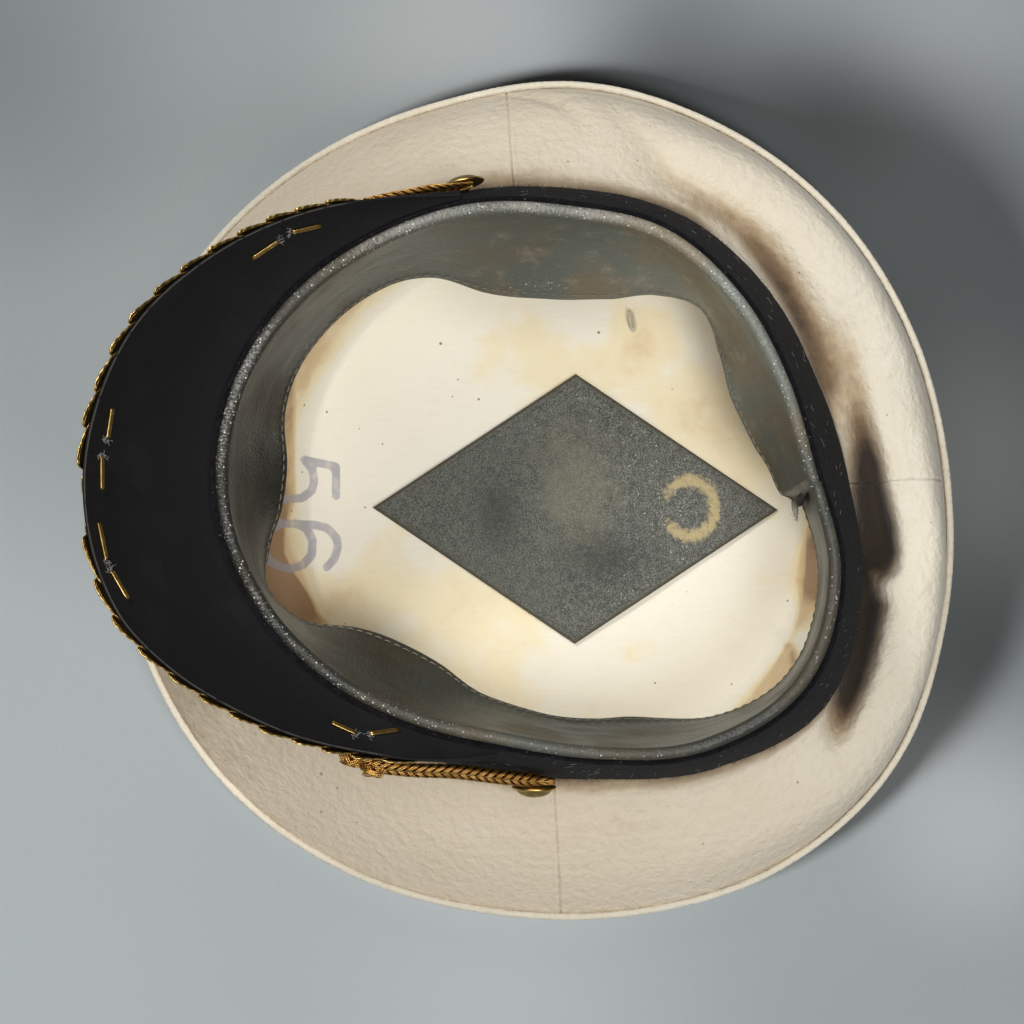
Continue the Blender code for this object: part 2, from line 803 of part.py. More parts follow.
def side_button(side, material):
    """A domed button with a raised rim, its back to the band."""
    turn = BUTTON_TURNS[side]
    height = mouth_height(turn) - BUTTON_DROP
    up = (band_point(turn, 1.0) - band_point(turn, 0.0)).normalized()
    side_way = forward(turn)
    out = side_way.cross(up).normalized()
    base = place(turn, band_face_radius(turn, height), height) + out * BUTTON_SHANK
    sections = []
    for ring_row in BUTTON_RINGS:
        ring = []
        for k in range(BUTTON_SIDES):
            angle = 2 * math.pi * k / BUTTON_SIDES
            spoke = side_way * math.cos(angle) + up * math.sin(angle)
            along_out = out * BUTTON_HEIGHT * ring_row.rise
            ring.append(base + spoke * BUTTON_RADIUS * ring_row.radius + along_out)
        sections.append(ring)
    return swept(f"side_button_{side}", sections, material)


def move_to_middle():
    """Puts the middle of the whole cap over the origin, and its resting face at height 0."""
    graph = bpy.context.evaluated_depsgraph_get()
    pieces = [thing.evaluated_get(graph) for thing in bpy.data.objects if not thing.hide_render]
    points = [Vector(corner) for piece in pieces for corner in piece.bound_box]
    least = Vector([min(point[k] for point in points) for k in range(3)])
    most = Vector([max(point[k] for point in points) for k in range(3)])
    middle = (least + most) / 2
    for thing in bpy.data.objects:
        thing.location -= Vector((middle.x, middle.y, least.z))


def main():
    clear_scene()
    cream = finish_of("cream_cloth", (0.72, 0.64, 0.50), 0.9)
    wool = finish_of("black_wool", (0.012, 0.012, 0.014), 0.95)
    leather = finish_of("sweatband_leather", (0.10, 0.11, 0.10), 0.5)
    lining_cloth = finish_of("lining_cloth", (0.74, 0.60, 0.40), 0.85)
    board = finish_of("peak_board", (0.012, 0.012, 0.013), 0.55)
    gilt = finish_of("gilt_metal", (0.62, 0.42, 0.13), 0.32, 1.0)
    bullion = finish_of("gilt_cord", (0.55, 0.38, 0.12), 0.45, 0.8)
    crown_top(cream)
    quarters(cream)
    edge_piping(cream)
    cap_band(wool)
    sweatband(leather)
    lining(lining_cloth)
    lining_patch(leather)
    peak(board)
    leaf_trim(gilt)
    chin_cord(bullion)
    for side in SLIDE_TURNS:
        cord_slide(side, bullion)
    for side in BUTTON_TURNS:
        side_button(side, gilt)
    move_to_middle()


main()
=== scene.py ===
"""The looks of a peaked cap with a white cloth crown, lying upside down on its crown.

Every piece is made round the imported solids. +Z is up and -Y is the front, where the peak is. A turn
is an angle round the crown's middle, in degrees: 0 at the front, growing toward +X. Lengths are in
metres, and in the tables that say so in millimetres.
"""

import math

import bpy
import numpy as np
from mathutils import Matrix, Vector


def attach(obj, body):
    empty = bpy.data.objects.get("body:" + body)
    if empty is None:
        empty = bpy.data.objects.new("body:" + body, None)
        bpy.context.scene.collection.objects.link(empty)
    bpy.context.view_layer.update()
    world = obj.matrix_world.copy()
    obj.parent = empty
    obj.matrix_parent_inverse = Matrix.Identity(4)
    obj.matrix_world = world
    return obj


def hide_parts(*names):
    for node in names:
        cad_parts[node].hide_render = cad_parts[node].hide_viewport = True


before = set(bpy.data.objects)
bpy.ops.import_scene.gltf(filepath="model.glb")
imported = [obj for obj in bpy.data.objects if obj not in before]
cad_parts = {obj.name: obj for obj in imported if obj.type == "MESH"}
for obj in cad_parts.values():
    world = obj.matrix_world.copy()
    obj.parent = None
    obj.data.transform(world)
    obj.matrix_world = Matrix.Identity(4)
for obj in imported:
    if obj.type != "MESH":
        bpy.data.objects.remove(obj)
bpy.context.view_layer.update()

MM = 0.001
MIDDLE_X, MIDDLE_Y = -0.000137, 0.000956
UP = np.array((0.0, 0.0, 1.0))

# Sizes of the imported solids. Pairs are at the front and at the rear.
CROWN_RADIUS, RIM_LIFT, QUARTER_RISE = 0.135, (0.009, 0.014), (0.047, 0.032)
CLOTH, PIPING_RADIUS = 0.0015, 0.0012
PUFF, ROLL, SAG = 0.0035, 0.0085, 0.0075
SEAM_TURNS = (0.0, 90.0, 179.0, 270.5, 360.0)
HEAD_RADIUS = 0.560 / (2 * math.pi)
BAND_HEIGHT, BAND_FLARE, BAND_WALL, BAND_BELLY = 0.042, 0.010, 0.0025, 0.0008
BAND_EDGE_OUT, BAND_EDGE_DROP = 0.0016, 0.0008
SWEATBAND_DEPTH, SWEATBAND_WALL, ROLLED_EDGE, HEM_CURVE = 0.046, 0.0013, 0.004, 1.8
JOINT_TURN = 176.5
LINING_WALL, FLOOR_HEIGHT, LINING_TOP = 0.0012, 0.0030, 0.12
PATCH_LONG, PATCH_WIDE, PATCH_LEATHER, PATCH_TURN = 0.1320, 0.0880, 0.0013, 3.8
PATCH_X, PATCH_Y, PATCH_SEAT = 0.0034, 0.0130, 0.0007
PEAK_TURNS = (-79.0, 78.0)
PEAK_REACH, PEAK_SLOPE, PEAK_BOARD, PEAK_BELLY = 0.033, 47.0, 0.0026, 0.0022
TRIM_TURNS = (-61.0, 63.0)
CORD_WIDTH, CORD_LEAN = 0.0064, 45.0
# Turn, how far out from the band, and height.
BUTTONS = {"left": (-80.0, 0.0018, 0.0032), "right": (86.0, 0.0042, 0.0040)}
BUTTON_RADIUS, BUTTON_DROP = 0.0068, 0.0225
GAP = 0.0003

# Threads: the pitch of the stitches, a stitch's length and the thread's radius, in millimetres.
HEM_STITCH, PATCH_STITCH = (3.1, 2.3, 0.19), (2.2, 1.7, 0.15)

# Turn, then shares of: the rim's radius, the mouth's radius, the band's flare, the floor's radius,
# and how slack the side cloth is.
SECTIONS = np.array((
    (0, 1.010, 1.063, 0.90, 0.84, 0.00),
    (20, 1.010, 1.013, 0.88, 0.87, 0.00),
    (40, 1.010, 0.947, 0.88, 0.89, 0.00),
    (60, 1.000, 0.888, 1.00, 0.89, 0.00),
    (80, 0.995, 0.869, 1.00, 0.89, 0.05),
    (100, 1.020, 0.933, 0.80, 0.93, 0.20),
    (120, 1.060, 1.050, 0.85, 1.01, 0.45),
    (140, 1.070, 1.120, 1.18, 1.04, 0.80),
    (160, 1.025, 1.062, 1.16, 1.02, 1.00),
    (180, 0.995, 0.940, 1.38, 0.965, 1.00),
    (200, 0.995, 0.921, 1.30, 0.95, 1.00),
    (220, 1.005, 0.945, 1.31, 0.95, 0.85),
    (240, 1.010, 0.971, 1.20, 0.94, 0.60),
    (260, 1.015, 0.950, 1.15, 0.92, 0.40),
    (280, 0.990, 0.974, 1.03, 0.92, 0.15),
    (300, 0.990, 0.998, 1.00, 0.91, 0.00),
    (320, 1.000, 1.039, 0.98, 0.89, 0.00),
    (340, 1.010, 1.068, 0.94, 0.86, 0.00),
))
RIM, MOUTH, FLARE, FLOOR, SLACK = 1, 2, 3, 4, 5
# Turn, then how far the sweatband's hem is turned in, a share of its depth.
HEM_BENDS = np.array((
    (0, 0.334), (8, 0.19), (16, 0.06), (25, 0.14), (33, 0.356), (43, 0.44), (57, 0.405),
    (72, 0.276), (88, 0.228), (101, 0.24), (110, 0.27), (117, 0.235), (125, 0.15), (140, 0.07),
    (155, 0.045), (167, 0.05), (172, 0.055), (175.5, 0.08), (178, 0.155), (184, 0.20),
    (190, 0.255), (203, 0.29), (214, 0.227), (225, 0.14), (235, 0.27), (246, 0.445),
    (270, 0.515), (281, 0.467), (292, 0.275), (302, 0.20), (325, 0.212), (338, 0.275),
    (350, 0.375),
))

# Turn, then the peak's reach, a share of the longest.
PEAK_STATIONS = np.array((
    (-110, 0.00), (-79, 0.03), (-67, 0.155), (-57, 0.32), (-47, 0.475), (-36, 0.65),
    (-26, 0.805), (-16, 0.90), (-2, 0.976), (14, 0.955), (23, 0.82), (33, 0.635), (43, 0.475),
    (52, 0.34), (62, 0.225), (71, 0.12), (79, 0.03), (110, 0.00), (180, 0.00),
))

# Turn, then how far the chin cord is out from the band and down from its head edge, in widths.
CORD_ROUTE = np.array((
    (-82, 0.36, 2.70), (-77, 0.42, 2.15), (-71, 0.62, 1.65), (-65, 0.95, 1.25), (-54, 1.55, 1.05),
    (-40, 1.30, 0.75), (-20, 1.10, 0.5), (0, 1.10, 0.5), (20, 1.10, 0.5), (38, 1.40, 0.4),
    (48, 1.95, 0.2), (55, 2.20, 0.2), (61, 1.83, 0.4), (70, 1.17, 1.0), (80, 0.82, 1.85),
    (90, 0.54, 2.60),
))

# The creases of the slack side cloth, each a row of spots: x, y and depth in millimetres, how far
# the crease spreads toward the band and toward the rim, how far the cloth swells past it, and how
# far that swelling is drawn over the crease.
CREASES = (
    (
        (-104, 36, 0.0, 3.0, 4.0, 0.0, 0.0), (-95, 53, 2.5, 3.0, 4.2, 0.5, 0.3),
        (-88, 63.5, 4.5, 3.2, 4.6, 1.2, 0.8), (-80.5, 71.3, 6.5, 3.2, 4.8, 1.7, 1.2),
        (-72.8, 77.6, 8.0, 3.2, 4.8, 2.0, 1.5), (-64.2, 83.3, 8.8, 3.2, 4.8, 2.2, 1.7),
        (-54, 88.6, 9.0, 3.2, 5.0, 2.2, 1.7), (-45.8, 91.8, 8.0, 3.4, 5.2, 2.0, 1.3),
        (-37, 94.5, 6.0, 3.8, 5.6, 1.6, 0.8), (-29, 96.5, 4.0, 4.0, 6.0, 0.8, 0.4),
        (-20, 99.0, 2.0, 4.0, 6.0, 0.0, 0.0), (-10, 101, 0.0, 4.0, 6.0, 0.0, 0.0),
    ),
    (
        (-33, 102.4, 0.0, 1.8, 1.8, 0.3, 0.0), (-26, 103.6, 3.0, 2.0, 2.0, 0.8, 0.5),
        (-19, 104.7, 6.0, 2.6, 2.3, 1.6, 1.3), (-11, 106.0, 9.0, 3.6, 2.6, 2.4, 2.4),
        (-3.8, 107.2, 12.0, 4.8, 2.7, 3.0, 3.3), (3.2, 108.0, 14.0, 6.0, 2.7, 3.0, 3.8),
        (10.2, 109.0, 15.0, 7.0, 2.7, 3.0, 4.0), (16.9, 109.9, 15.5, 8.0, 2.7, 3.0, 4.0),
        (23.8, 110.2, 14.0, 8.0, 2.6, 2.6, 3.9), (30.0, 109.3, 9.0, 5.5, 2.4, 2.0, 3.0),
        (35.0, 107.8, 0.0, 3.0, 2.2, 0.5, 0.5),
    ),
    (
        (14, 101.0, 0.0, 5.0, 3.0, 0.0, 0.0), (21, 102.6, 7.0, 7.0, 3.0, 0.0, 0.0),
        (28, 104.0, 11.0, 8.0, 3.0, 0.8, 0.8), (34, 105.0, 14.0, 8.5, 3.0, 1.8, 2.4),
        (40.6, 105.6, 16.0, 9.0, 3.0, 2.6, 3.2), (46.1, 104.4, 16.5, 9.0, 3.0, 2.8, 3.6),
        (51.7, 103.1, 16.0, 8.5, 3.0, 2.8, 3.6), (57.6, 101.2, 15.0, 8.0, 3.0, 2.8, 3.4),
        (64.1, 98.8, 13.5, 7.0, 2.8, 2.5, 3.0), (70.8, 95.4, 10.5, 5.5, 2.6, 1.8, 2.2),
        (77.5, 91.6, 6.5, 4.0, 2.4, 1.0, 1.2), (85, 86.5, 0.0, 2.8, 2.2, 0.0, 0.0),
    ),
    (
        (-132, -4, 0.6, 1.6, 1.6, 0.0, 0.0), (-128, 5, 1.5, 1.5, 1.8, 0.8, 0.4),
        (-125, 10, 1.8, 1.5, 2.2, 1.0, 0.5), (-122, 15, 1.5, 1.8, 2.6, 0.8, 0.4),
        (-118, 20, 0.9, 2.5, 3.0, 0.5, 0.0), (-112, 26, 0.0, 3.0, 3.0, 0.0, 0.0),
    ),
    (
        (-124, 26, 0.0, 4.0, 4.0, 0.0, 0.0), (-114, 35, 1.2, 4.0, 4.5, 0.0, 0.0),
        (-105, 42, 1.5, 4.0, 5.0, 0.0, 0.0), (-96, 49, 1.0, 4.0, 5.0, 0.0, 0.0),
        (-90, 54, 0.0, 4.0, 5.0, 0.0, 0.0),
    ),
    (
        (-56, 95, 0.0, 4.0, 5.0, 0.0, 0.0), (-45, 99, 2.2, 4.5, 5.0, 0.0, 0.0),
        (-34, 101.5, 2.4, 4.5, 4.0, 0.0, 0.0), (-23, 102, 0.0, 4.0, 3.0, 0.0, 0.0),
    ),
    ((91, 53, 0, 2.5, 2.5, 0, 0), (102, 45, 0.5, 2.5, 2.5, 0, 0), (114, 35, 0, 2.5, 2.5, 0, 0)),
    ((100, 59, 0, 2.5, 2.5, 0, 0), (114, 50, 0.45, 2.5, 2.5, 0, 0), (124, 41, 0, 2.5, 2.5, 0, 0)),
    ((94, 27, 0, 2.5, 2.5, 0, 0), (103, 18, 0.35, 2.5, 2.5, 0, 0), (113, 10, 0, 2.5, 2.5, 0, 0)),
    ((-112, 50, 0, 7, 7, 0, 0), (-106, 56, -1.6, 7, 7, 0, 0), (-92, 76, 0, 7, 7, 0, 0)),
)

# The tangs: turn, share of the way from the peak's root to its edge, and the bent end's heading in
# degrees and length in millimetres.
TANGS = (
    (-49.4, 0.717, 168, 9.0), (-46.8, 0.678, 6, 9.4), (-9.2, 0.843, 185, 8.6),
    (-6.6, 0.868, 7, 9.4), (7.0, 0.915, 174, 11.0), (8.6, 0.901, 13, 9.2),
    (50.2, 0.549, 172, 7.4), (52.7, 0.456, 29, 9.2),
)


# The photograph's view: its roll, the camera's tilt, place and focal length in picture widths

PHOTO_ROLL, CAMERA_TILT, FOCAL_LENGTH = math.radians(3.5), math.radians(2.5), 3057 / 1024
CAMERA_PLACE = Vector((0.04658 + MIDDLE_X, -0.01032 + MIDDLE_Y, 1.0))
PHOTO_RIGHT = Vector((math.sin(PHOTO_ROLL), math.cos(PHOTO_ROLL), 0))
PHOTO_TOP = Vector((-math.cos(PHOTO_ROLL), math.sin(PHOTO_ROLL), 0))


def add_object(name, data):
    thing = bpy.data.objects.new(name, data)
    bpy.context.scene.collection.objects.link(thing)
    return thing


def add_camera():
    back = Vector((0, 0, math.cos(CAMERA_TILT))) - math.sin(CAMERA_TILT) * PHOTO_TOP
    axes = Matrix((PHOTO_RIGHT, back.cross(PHOTO_RIGHT), back)).transposed().to_4x4()
    data = bpy.data.cameras.new("camera")
    data.lens = FOCAL_LENGTH * data.sensor_width
    camera = add_object("camera", data)
    camera.matrix_world = Matrix.Translation(CAMERA_PLACE) @ axes
    bpy.context.scene.camera = camera


add_camera()


def blend(a, b, share):
    return a + (b - a) * share


def bell(value, width, power=2):
    """1 where the value is 0, falling away on both sides over the width."""
    return np.exp(-((value / width) ** power))


# Materials: a value in a node tree takes Python's operators, and every other node comes from
# Finish.node.


class Value:
    """A socket of a material. Sums and products of values add Math nodes."""

    def __init__(self, finish, socket):
        self.finish, self.socket = finish, socket

    def math(self, operation, *others):
        inputs = dict(enumerate((self, *others)))
        return self.finish.node("ShaderNodeMath", {"operation": operation}, inputs)

    def __add__(self, other):
        return self.math("ADD", other)

    def __sub__(self, other):
        return self.math("SUBTRACT", other)

    def __mul__(self, other):
        return self.math("MULTIPLY", other)

    def __rsub__(self, other):
        number = self.finish.node("ShaderNodeMath", {"operation": "ADD"}, {0: other, 1: 0.0})
        return number.math("SUBTRACT", self)

    __radd__, __rmul__ = __add__, __mul__

    def sin(self):
        return self.math("SINE")

    def most(self, other):
        return self.math("MAXIMUM", other)

    def step(self, start, stop):
        """0 at start and 1 at stop, smooth between them. Start may be the larger."""
        inputs = {0: self, 1: start, 2: stop}
        if start > stop:
            inputs = {0: self, 1: stop, 2: start, 3: 1.0, 4: 0.0}
        settings = {"interpolation_type": "SMOOTHSTEP", "clamp": True}
        return self.finish.node("ShaderNodeMapRange", settings, inputs)


class Finish:
    """One procedural material, in metres of the cap's own space."""

    def __init__(self, name):
        self.material = bpy.data.materials.new(name)
        self.material.use_nodes = True
        self.nodes = self.material.node_tree.nodes
        self.links = self.material.node_tree.links
        self.nodes.clear()

    def node(self, kind, settings=None, inputs=None, out=0):
        node = self.nodes.new(kind)
        for key, setting in (settings or {}).items():
            setattr(node, key, setting)
        for key, value in (inputs or {}).items():
            socket = node.inputs[key]
            if isinstance(value, Value):
                self.links.new(value.socket, socket)
            else:
                socket.default_value = (*value, 1.0) if socket.type == "RGBA" else value
        return Value(self, node.outputs[out]) if node.outputs else None

    def spot(self):
        return self.node("ShaderNodeTexCoord", {}, {}, "Object")

    def parts(self, vector):
        return [self.node("ShaderNodeSeparateXYZ", {}, {0: vector}, k) for k in range(3)]

    def mark(self, name, out="Fac"):
        """A value stored on the piece's points."""
        return self.node("ShaderNodeAttribute", {"attribute_name": name}, {}, out)

    def place(self):
        """The three parts of the place stored on the piece's points."""
        return self.parts(self.mark("place", "Vector"))

    def noise(self, size, detail=2.0, roughness=0.5, vector=None):
        """Soft noise from about 0.3 to 0.7, with bumps of the given size in metres."""
        inputs = {"Scale": 1 / size, "Detail": detail, "Roughness": roughness}
        inputs["Vector"] = vector or self.spot()
        return self.node("ShaderNodeTexNoise", {}, inputs)

    def streaks(self, across, along, detail=2.0):
        """Noise over two values that are scaled apart, so that it is drawn out."""
        vector = self.node("ShaderNodeCombineXYZ", {}, {0: across, 1: along, 2: 0.0})
        return self.noise(1.0, detail, vector=vector)

    def cells(self, size, out="Distance"):
        inputs = {"Vector": self.spot(), "Scale": 1 / size}
        return self.node("ShaderNodeTexVoronoi", {}, inputs, out)

    def specks(self, spacing, size, share):
        """Small round marks of mixed sizes, where cells of the given spacing hold one."""
        apart, draw = self.cells(spacing), self.cells(spacing, "Color")
        held, big = (self.node("ShaderNodeSeparateColor", {}, {0: draw}, k) for k in (0, 1))
        edge = (big * 0.8 + 0.4) * (size / spacing)
        return (edge - apart).step(0.0, size / spacing * 0.3) * held.step(1 - share, 1.001 - share)

    def grain(self, size):
        """The height of leather grain: small raised cells with creases between them."""
        return (1 - self.cells(size)) * 0.7 + self.noise(size * 2.5, 3) * 0.6

    def mix(self, share, first, second, way="MIX"):
        settings = {"data_type": "RGBA", "blend_type": way, "clamp_factor": True}
        return self.node("ShaderNodeMix", settings, {0: share, 6: first, 7: second}, 2)

    def layers(self, colour, *coats):
        """A colour under coats of others, each laid where its share is 1."""
        for share, tint in coats:
            colour = self.mix(share, colour, tint)
        return colour

    def bump(self, height, distance, **normal):
        inputs = {"Height": height, "Distance": distance, "Strength": 1.0, **normal}
        return self.node("ShaderNodeBump", {}, inputs)

    def finish(self, colour, roughness, **others):
        inputs = {"Base Color": colour, "Roughness": roughness}
        inputs.update((key.replace("_", " "), value) for key, value in others.items())
        surface = self.node("ShaderNodeBsdfPrincipled", {}, inputs)
        self.node("ShaderNodeOutputMaterial", {}, {"Surface": surface})
        return self.material


def weave(across, along, pitch):
    """The height of a plain weave, from 0 to 1, over two lengths in metres."""
    turns = 2 * math.pi / pitch
    return (across * turns).sin() * (along * turns).sin() * 0.5 + 0.5


def coils(along, around, pitch):
    """The height of thread or wire that is wound at a slant, from 0 to 1."""
    return (along * (2 * math.pi / pitch) + around * 6.28).sin() * 0.5 + 0.5


def cream_cotton():
    f = Finish("cream_cotton")
    u, v, grime_and_shade = f.place()
    patches, mottle = f.noise(0.030, 4, 0.6), f.noise(0.004, 4, 0.65)
    streaks = f.streaks(u * 60, v * 420, 3)
    # Noise dirt added to the stored grime and painted shade.
    dirt_and_shade = (patches - 0.5) * 0.7 + (mottle - 0.5) * 0.45 + (streaks - 0.5) * 0.3 + grime_and_shade
    clean = f.mix(dirt_and_shade.step(-0.35, 0.15), (0.78, 0.745, 0.655), (0.73, 0.675, 0.555))
    specks = f.specks(0.006, 0.00045, 0.5).most(f.specks(0.014, 0.0007, 0.35))
    # The first colour is warmed: a tint, and painted warm light by the slack rim; the darkest coat is
    # reached only in painted shade.
    colour = f.layers(
        f.mix(f.mark("warm_tint_and_light"), clean, (1.0, 0.925, 0.865), "MULTIPLY"),
        (weave(u + v, u - v, 0.0011) * 0.14, (0.45, 0.40, 0.31)),
        (dirt_and_shade.step(0.10, 0.70), (0.50, 0.40, 0.27)),
        (dirt_and_shade.step(0.45, 1.25), (0.19, 0.125, 0.07)),
        (dirt_and_shade.step(1.05, 1.80), (0.028, 0.018, 0.011)),
        (specks * 0.55, (0.16, 0.12, 0.08)),
    )
    fine = f.bump(weave(u, v, 0.00062) * 0.35 + f.noise(0.0007) * 0.9, 0.00012)
    slubs = f.bump(f.noise(0.003, 3), 0.0009, Normal=fine)
    return f.finish(colour, 0.92, Normal=slubs, Sheen_Weight=0.15)


def black_wool():
    f = Finish("black_wool")
    nap = f.noise(0.0012, 4, 0.7)
    lint = f.noise(0.0007, 1).step(0.70, 0.76) * f.noise(0.006).step(0.45, 0.62)
    colour = f.layers(
        (0.003, 0.003, 0.004),
        (nap.step(0.35, 0.7), (0.010, 0.010, 0.0125)),
        (f.noise(0.009, 3).step(0.45, 0.75) * 0.5, (0.013, 0.013, 0.016)),
        (lint * 0.5, (0.30, 0.29, 0.27)),
    )
    bump = f.bump(nap, 0.0006)
    return f.finish(colour, 0.96, Normal=bump, Sheen_Weight=0.03, Specular_IOR_Level=0.08)


def band_leather():
    f = Finish("band_leather")
    u, v, scuff_and_sheen = f.place()
    brown = f.noise(0.028, 3).step(0.40, 0.62)
    wall = f.layers(
        (0.049, 0.054, 0.047),
        (brown, (0.064, 0.054, 0.037)),
        (f.noise(0.007, 4, 0.7).step(0.52, 0.72) * 0.6, (0.105, 0.10, 0.082)),
    )
    # The wall's colour is scaled by painted light and shade that changes round the turn.
    scaled = {0: wall, "Scale": f.mark("wall_shading")}
    stipple = f.noise(0.00065, 4, 0.9)
    rough = blend(stipple, f.streaks(u * 2000, v * 480), 0.38)
    # Pale worn scuffs; glints are painted glints, and both make the painted sheen on the top wall.
    pale = (rough + scuff_and_sheen * 0.34 - 0.33).step(0.43, 0.53) * scuff_and_sheen.step(0.05, 0.40)
    glints = f.specks(0.0010, 0.00028, 0.60) * scuff_and_sheen.step(0.20, 0.75)
    colour = f.layers(
        f.node("ShaderNodeVectorMath", {"operation": "SCALE"}, scaled),
        (pale * 0.56, (0.40, 0.385, 0.365)),
        (glints * 0.8, (0.78, 0.76, 0.73)),
    )
    bump = f.bump(f.grain(0.0008) + stipple * scuff_and_sheen * 0.8, 0.00022)
    roughness = 0.36 + pale * 0.40 + brown * 0.14
    return f.finish(colour, roughness, Normal=bump, Specular_IOR_Level=0.38)


def patch_leather():
    f = Finish("patch_leather")
    inset = f.place()[2]
    stipple = blend(f.noise(0.0005, 3, 0.8), f.noise(0.0024), 0.16)
    # A painted shine: paler stipple and painted glints, more toward +y and where x is below -18 mm.
    painted_shine = f.mark("painted_shine") + (f.noise(0.012, 3) - 0.5) * 0.8
    glints = f.specks(0.0013, 0.00026, 0.45) * painted_shine.step(0.0, 0.7)
    blotch = f.mark("worn") + (f.noise(0.006, 4) - 0.5) * 1.4
    ring = f.mark("ring") + (f.noise(0.0016, 3) - 0.5) * 1.3
    colour = f.layers(
        (0.038, 0.044, 0.035),
        (stipple.step(0.40, 0.62), (0.170, 0.176, 0.150)),
        (stipple.step(0.50, 0.66) * painted_shine.step(0.0, 1.0) * 0.6, (0.34, 0.35, 0.34)),
        (glints * 0.75, (0.55, 0.56, 0.55)),
        (blotch.step(0.25, 0.95) * 0.30, (0.26, 0.25, 0.17)),
        (f.mark("dark") * 0.6, (0.018, 0.021, 0.018)),
        (inset.step(0.0013, 0.0006) * 0.85, (0.060, 0.052, 0.032)),
        (ring.step(0.30, 0.95) * 0.58, (0.72, 0.57, 0.27)),
    )
    bump = f.bump(f.grain(0.0009) + stipple * 0.8, 0.00030)
    return f.finish(colour, 0.46 + stipple * 0.15, Normal=bump)


def lining_cotton():
    f = Finish("lining_cotton")
    x, y, _ = f.parts(f.spot())
    # Stains and painted shade; the darkest colours are painted shade.
    stain_and_shading = f.mark("stain_and_shading") + (f.noise(0.022, 4, 0.6) - 0.5) * 1.6
    patchy = f.noise(0.004, 3).step(0.25, 0.6) * 0.3 + 0.5
    colour = f.layers(
        (0.95, 0.92, 0.81),
        (stain_and_shading.step(0.05, 0.45), (0.94, 0.845, 0.60)),
        (stain_and_shading.step(0.45, 1.0), (0.76, 0.57, 0.33)),
        (stain_and_shading.step(1.0, 1.8), (0.33, 0.18, 0.075)),
        (f.streaks(x * 900, y * 120).step(0.5, 0.8) * 0.10, (0.66, 0.52, 0.34)),
        (weave(x, y, 0.00085) * 0.16, (0.68, 0.58, 0.40)),
        (f.specks(0.0065, 0.00050, 0.55) * 0.8, (0.14, 0.09, 0.05)),
        (f.mark("ink").step(0.00155, 0.00110) * patchy, (0.36, 0.35, 0.42)),
    )
    threads = f.bump(weave(x, y, 0.00055) * 0.5 + f.noise(0.0008), 0.00010)
    return f.finish(colour, 0.88, Normal=threads, Sheen_Weight=0.1)


def peak_board():
    f = Finish("peak_board")
    inset = f.place()[1]
    fine, cloud = f.noise(0.0006, 3, 0.7), f.noise(0.018, 3)
    edge = inset.step(0.00050, 0.00015) * f.noise(0.0022).step(0.25, 0.5)
    colour = f.layers(
        (0.005, 0.005, 0.0055),
        (fine.step(0.35, 0.7), (0.009, 0.009, 0.010)),
        (cloud.step(0.5, 0.8) * 0.6, (0.012, 0.012, 0.013)),
        (f.specks(0.012, 0.00045, 0.35) * 0.6, (0.14, 0.14, 0.15)),
        (edge * 0.75, (0.13, 0.125, 0.12)),
    )
    bump = f.bump(fine, 0.00008)
    return f.finish(colour, 0.62 + cloud * 0.2, Normal=bump, Specular_IOR_Level=0.22)


def gilt_metal():
    f = Finish("gilt_metal")
    tarnish, hollow = f.noise(0.0030, 4, 0.65), f.mark("hollow")
    colour = f.layers(
        (0.80, 0.56, 0.20),
        (tarnish.step(0.35, 0.65), (0.55, 0.35, 0.10)),
        # Painted shade in the leaves' hollows, and a painted dark reflection over the buttons' domes.
        (hollow * 0.95, (0.085, 0.055, 0.022)),
    )
    bump = f.bump(f.noise(0.0009), 0.00005)
    return f.finish(colour, 0.22 + tarnish * 0.25 + hollow * 0.25, Normal=bump, Metallic=1.0)


def gilt_wire():
    f = Finish("gilt_wire")
    u, v, core = f.place()
    coil, worn = coils(u, v, 0.00042), f.noise(0.0035, 3)
    # Painted shade in the coil's grooves and on the dark cores between the wires.
    colour = f.layers(
        (0.84, 0.54, 0.17),
        (worn.step(0.35, 0.65), (0.56, 0.30, 0.075)),
        ((1 - coil) * 0.25, (0.16, 0.07, 0.02)),
        (core, (0.085, 0.032, 0.010)),
    )
    return f.finish(colour, 0.26 + worn * 0.15, Normal=f.bump(coil, 0.00003), Metallic=1.0)


def sewing_thread(name, colour, dark):
    f = Finish(name)
    u, v, _ = f.place()
    ply = coils(u, v, 0.0006)
    shade = f.mix(ply * 0.5 + f.noise(0.002) * 0.5, dark, colour)
    return f.finish(shade, 0.85, Normal=f.bump(ply, 0.00005))


def fibre(name, colour):
    f = Finish(name)
    shade = f.mix(f.noise(0.003).step(0.35, 0.65), colour, tuple(c * 0.6 for c in colour))
    return f.finish(shade, 0.9)


# Softly lit and shaded places of the floor: x, y and size in metres, and how much paler or darker.
FLOOR_SHADES = (
    (-0.1616, -0.180, 0.100, -0.40), (-0.1646, -0.012, 0.075, 0.30), (-0.1496, 0.056, 0.052, -0.30),
    (-0.1256, 0.107, 0.045, -0.26), (-0.1396, 0.150, 0.056, 0.26), (-0.0076, 0.150, 0.055, 0.42),
    (0.0624, 0.148, 0.052, -0.34), (0.1124, 0.140, 0.054, 0.34), (0.1614, -0.010, 0.090, 0.18),
)


def pale_floor():
    f = Finish("pale_floor")
    grain = f.noise(0.0015)
    colour = f.mix(f.noise(0.25).step(0.3, 0.7), (0.50, 0.53, 0.535), (0.54, 0.57, 0.58))
    for x, y, size, change in FLOOR_SHADES:
        ends = {0: f.spot(), 1: (x, y, 0.0)}
        apart = f.node("ShaderNodeVectorMath", {"operation": "DISTANCE"}, ends, "Value")
        tint = (0.0, 0.0, 0.0) if change < 0 else (1.0, 1.0, 1.0)
        colour = f.mix(apart.step(size, 0.0) * abs(change), colour, tint)
    return f.finish(colour, 0.8 + grain * 0.1, Normal=f.bump(grain, 0.00005))


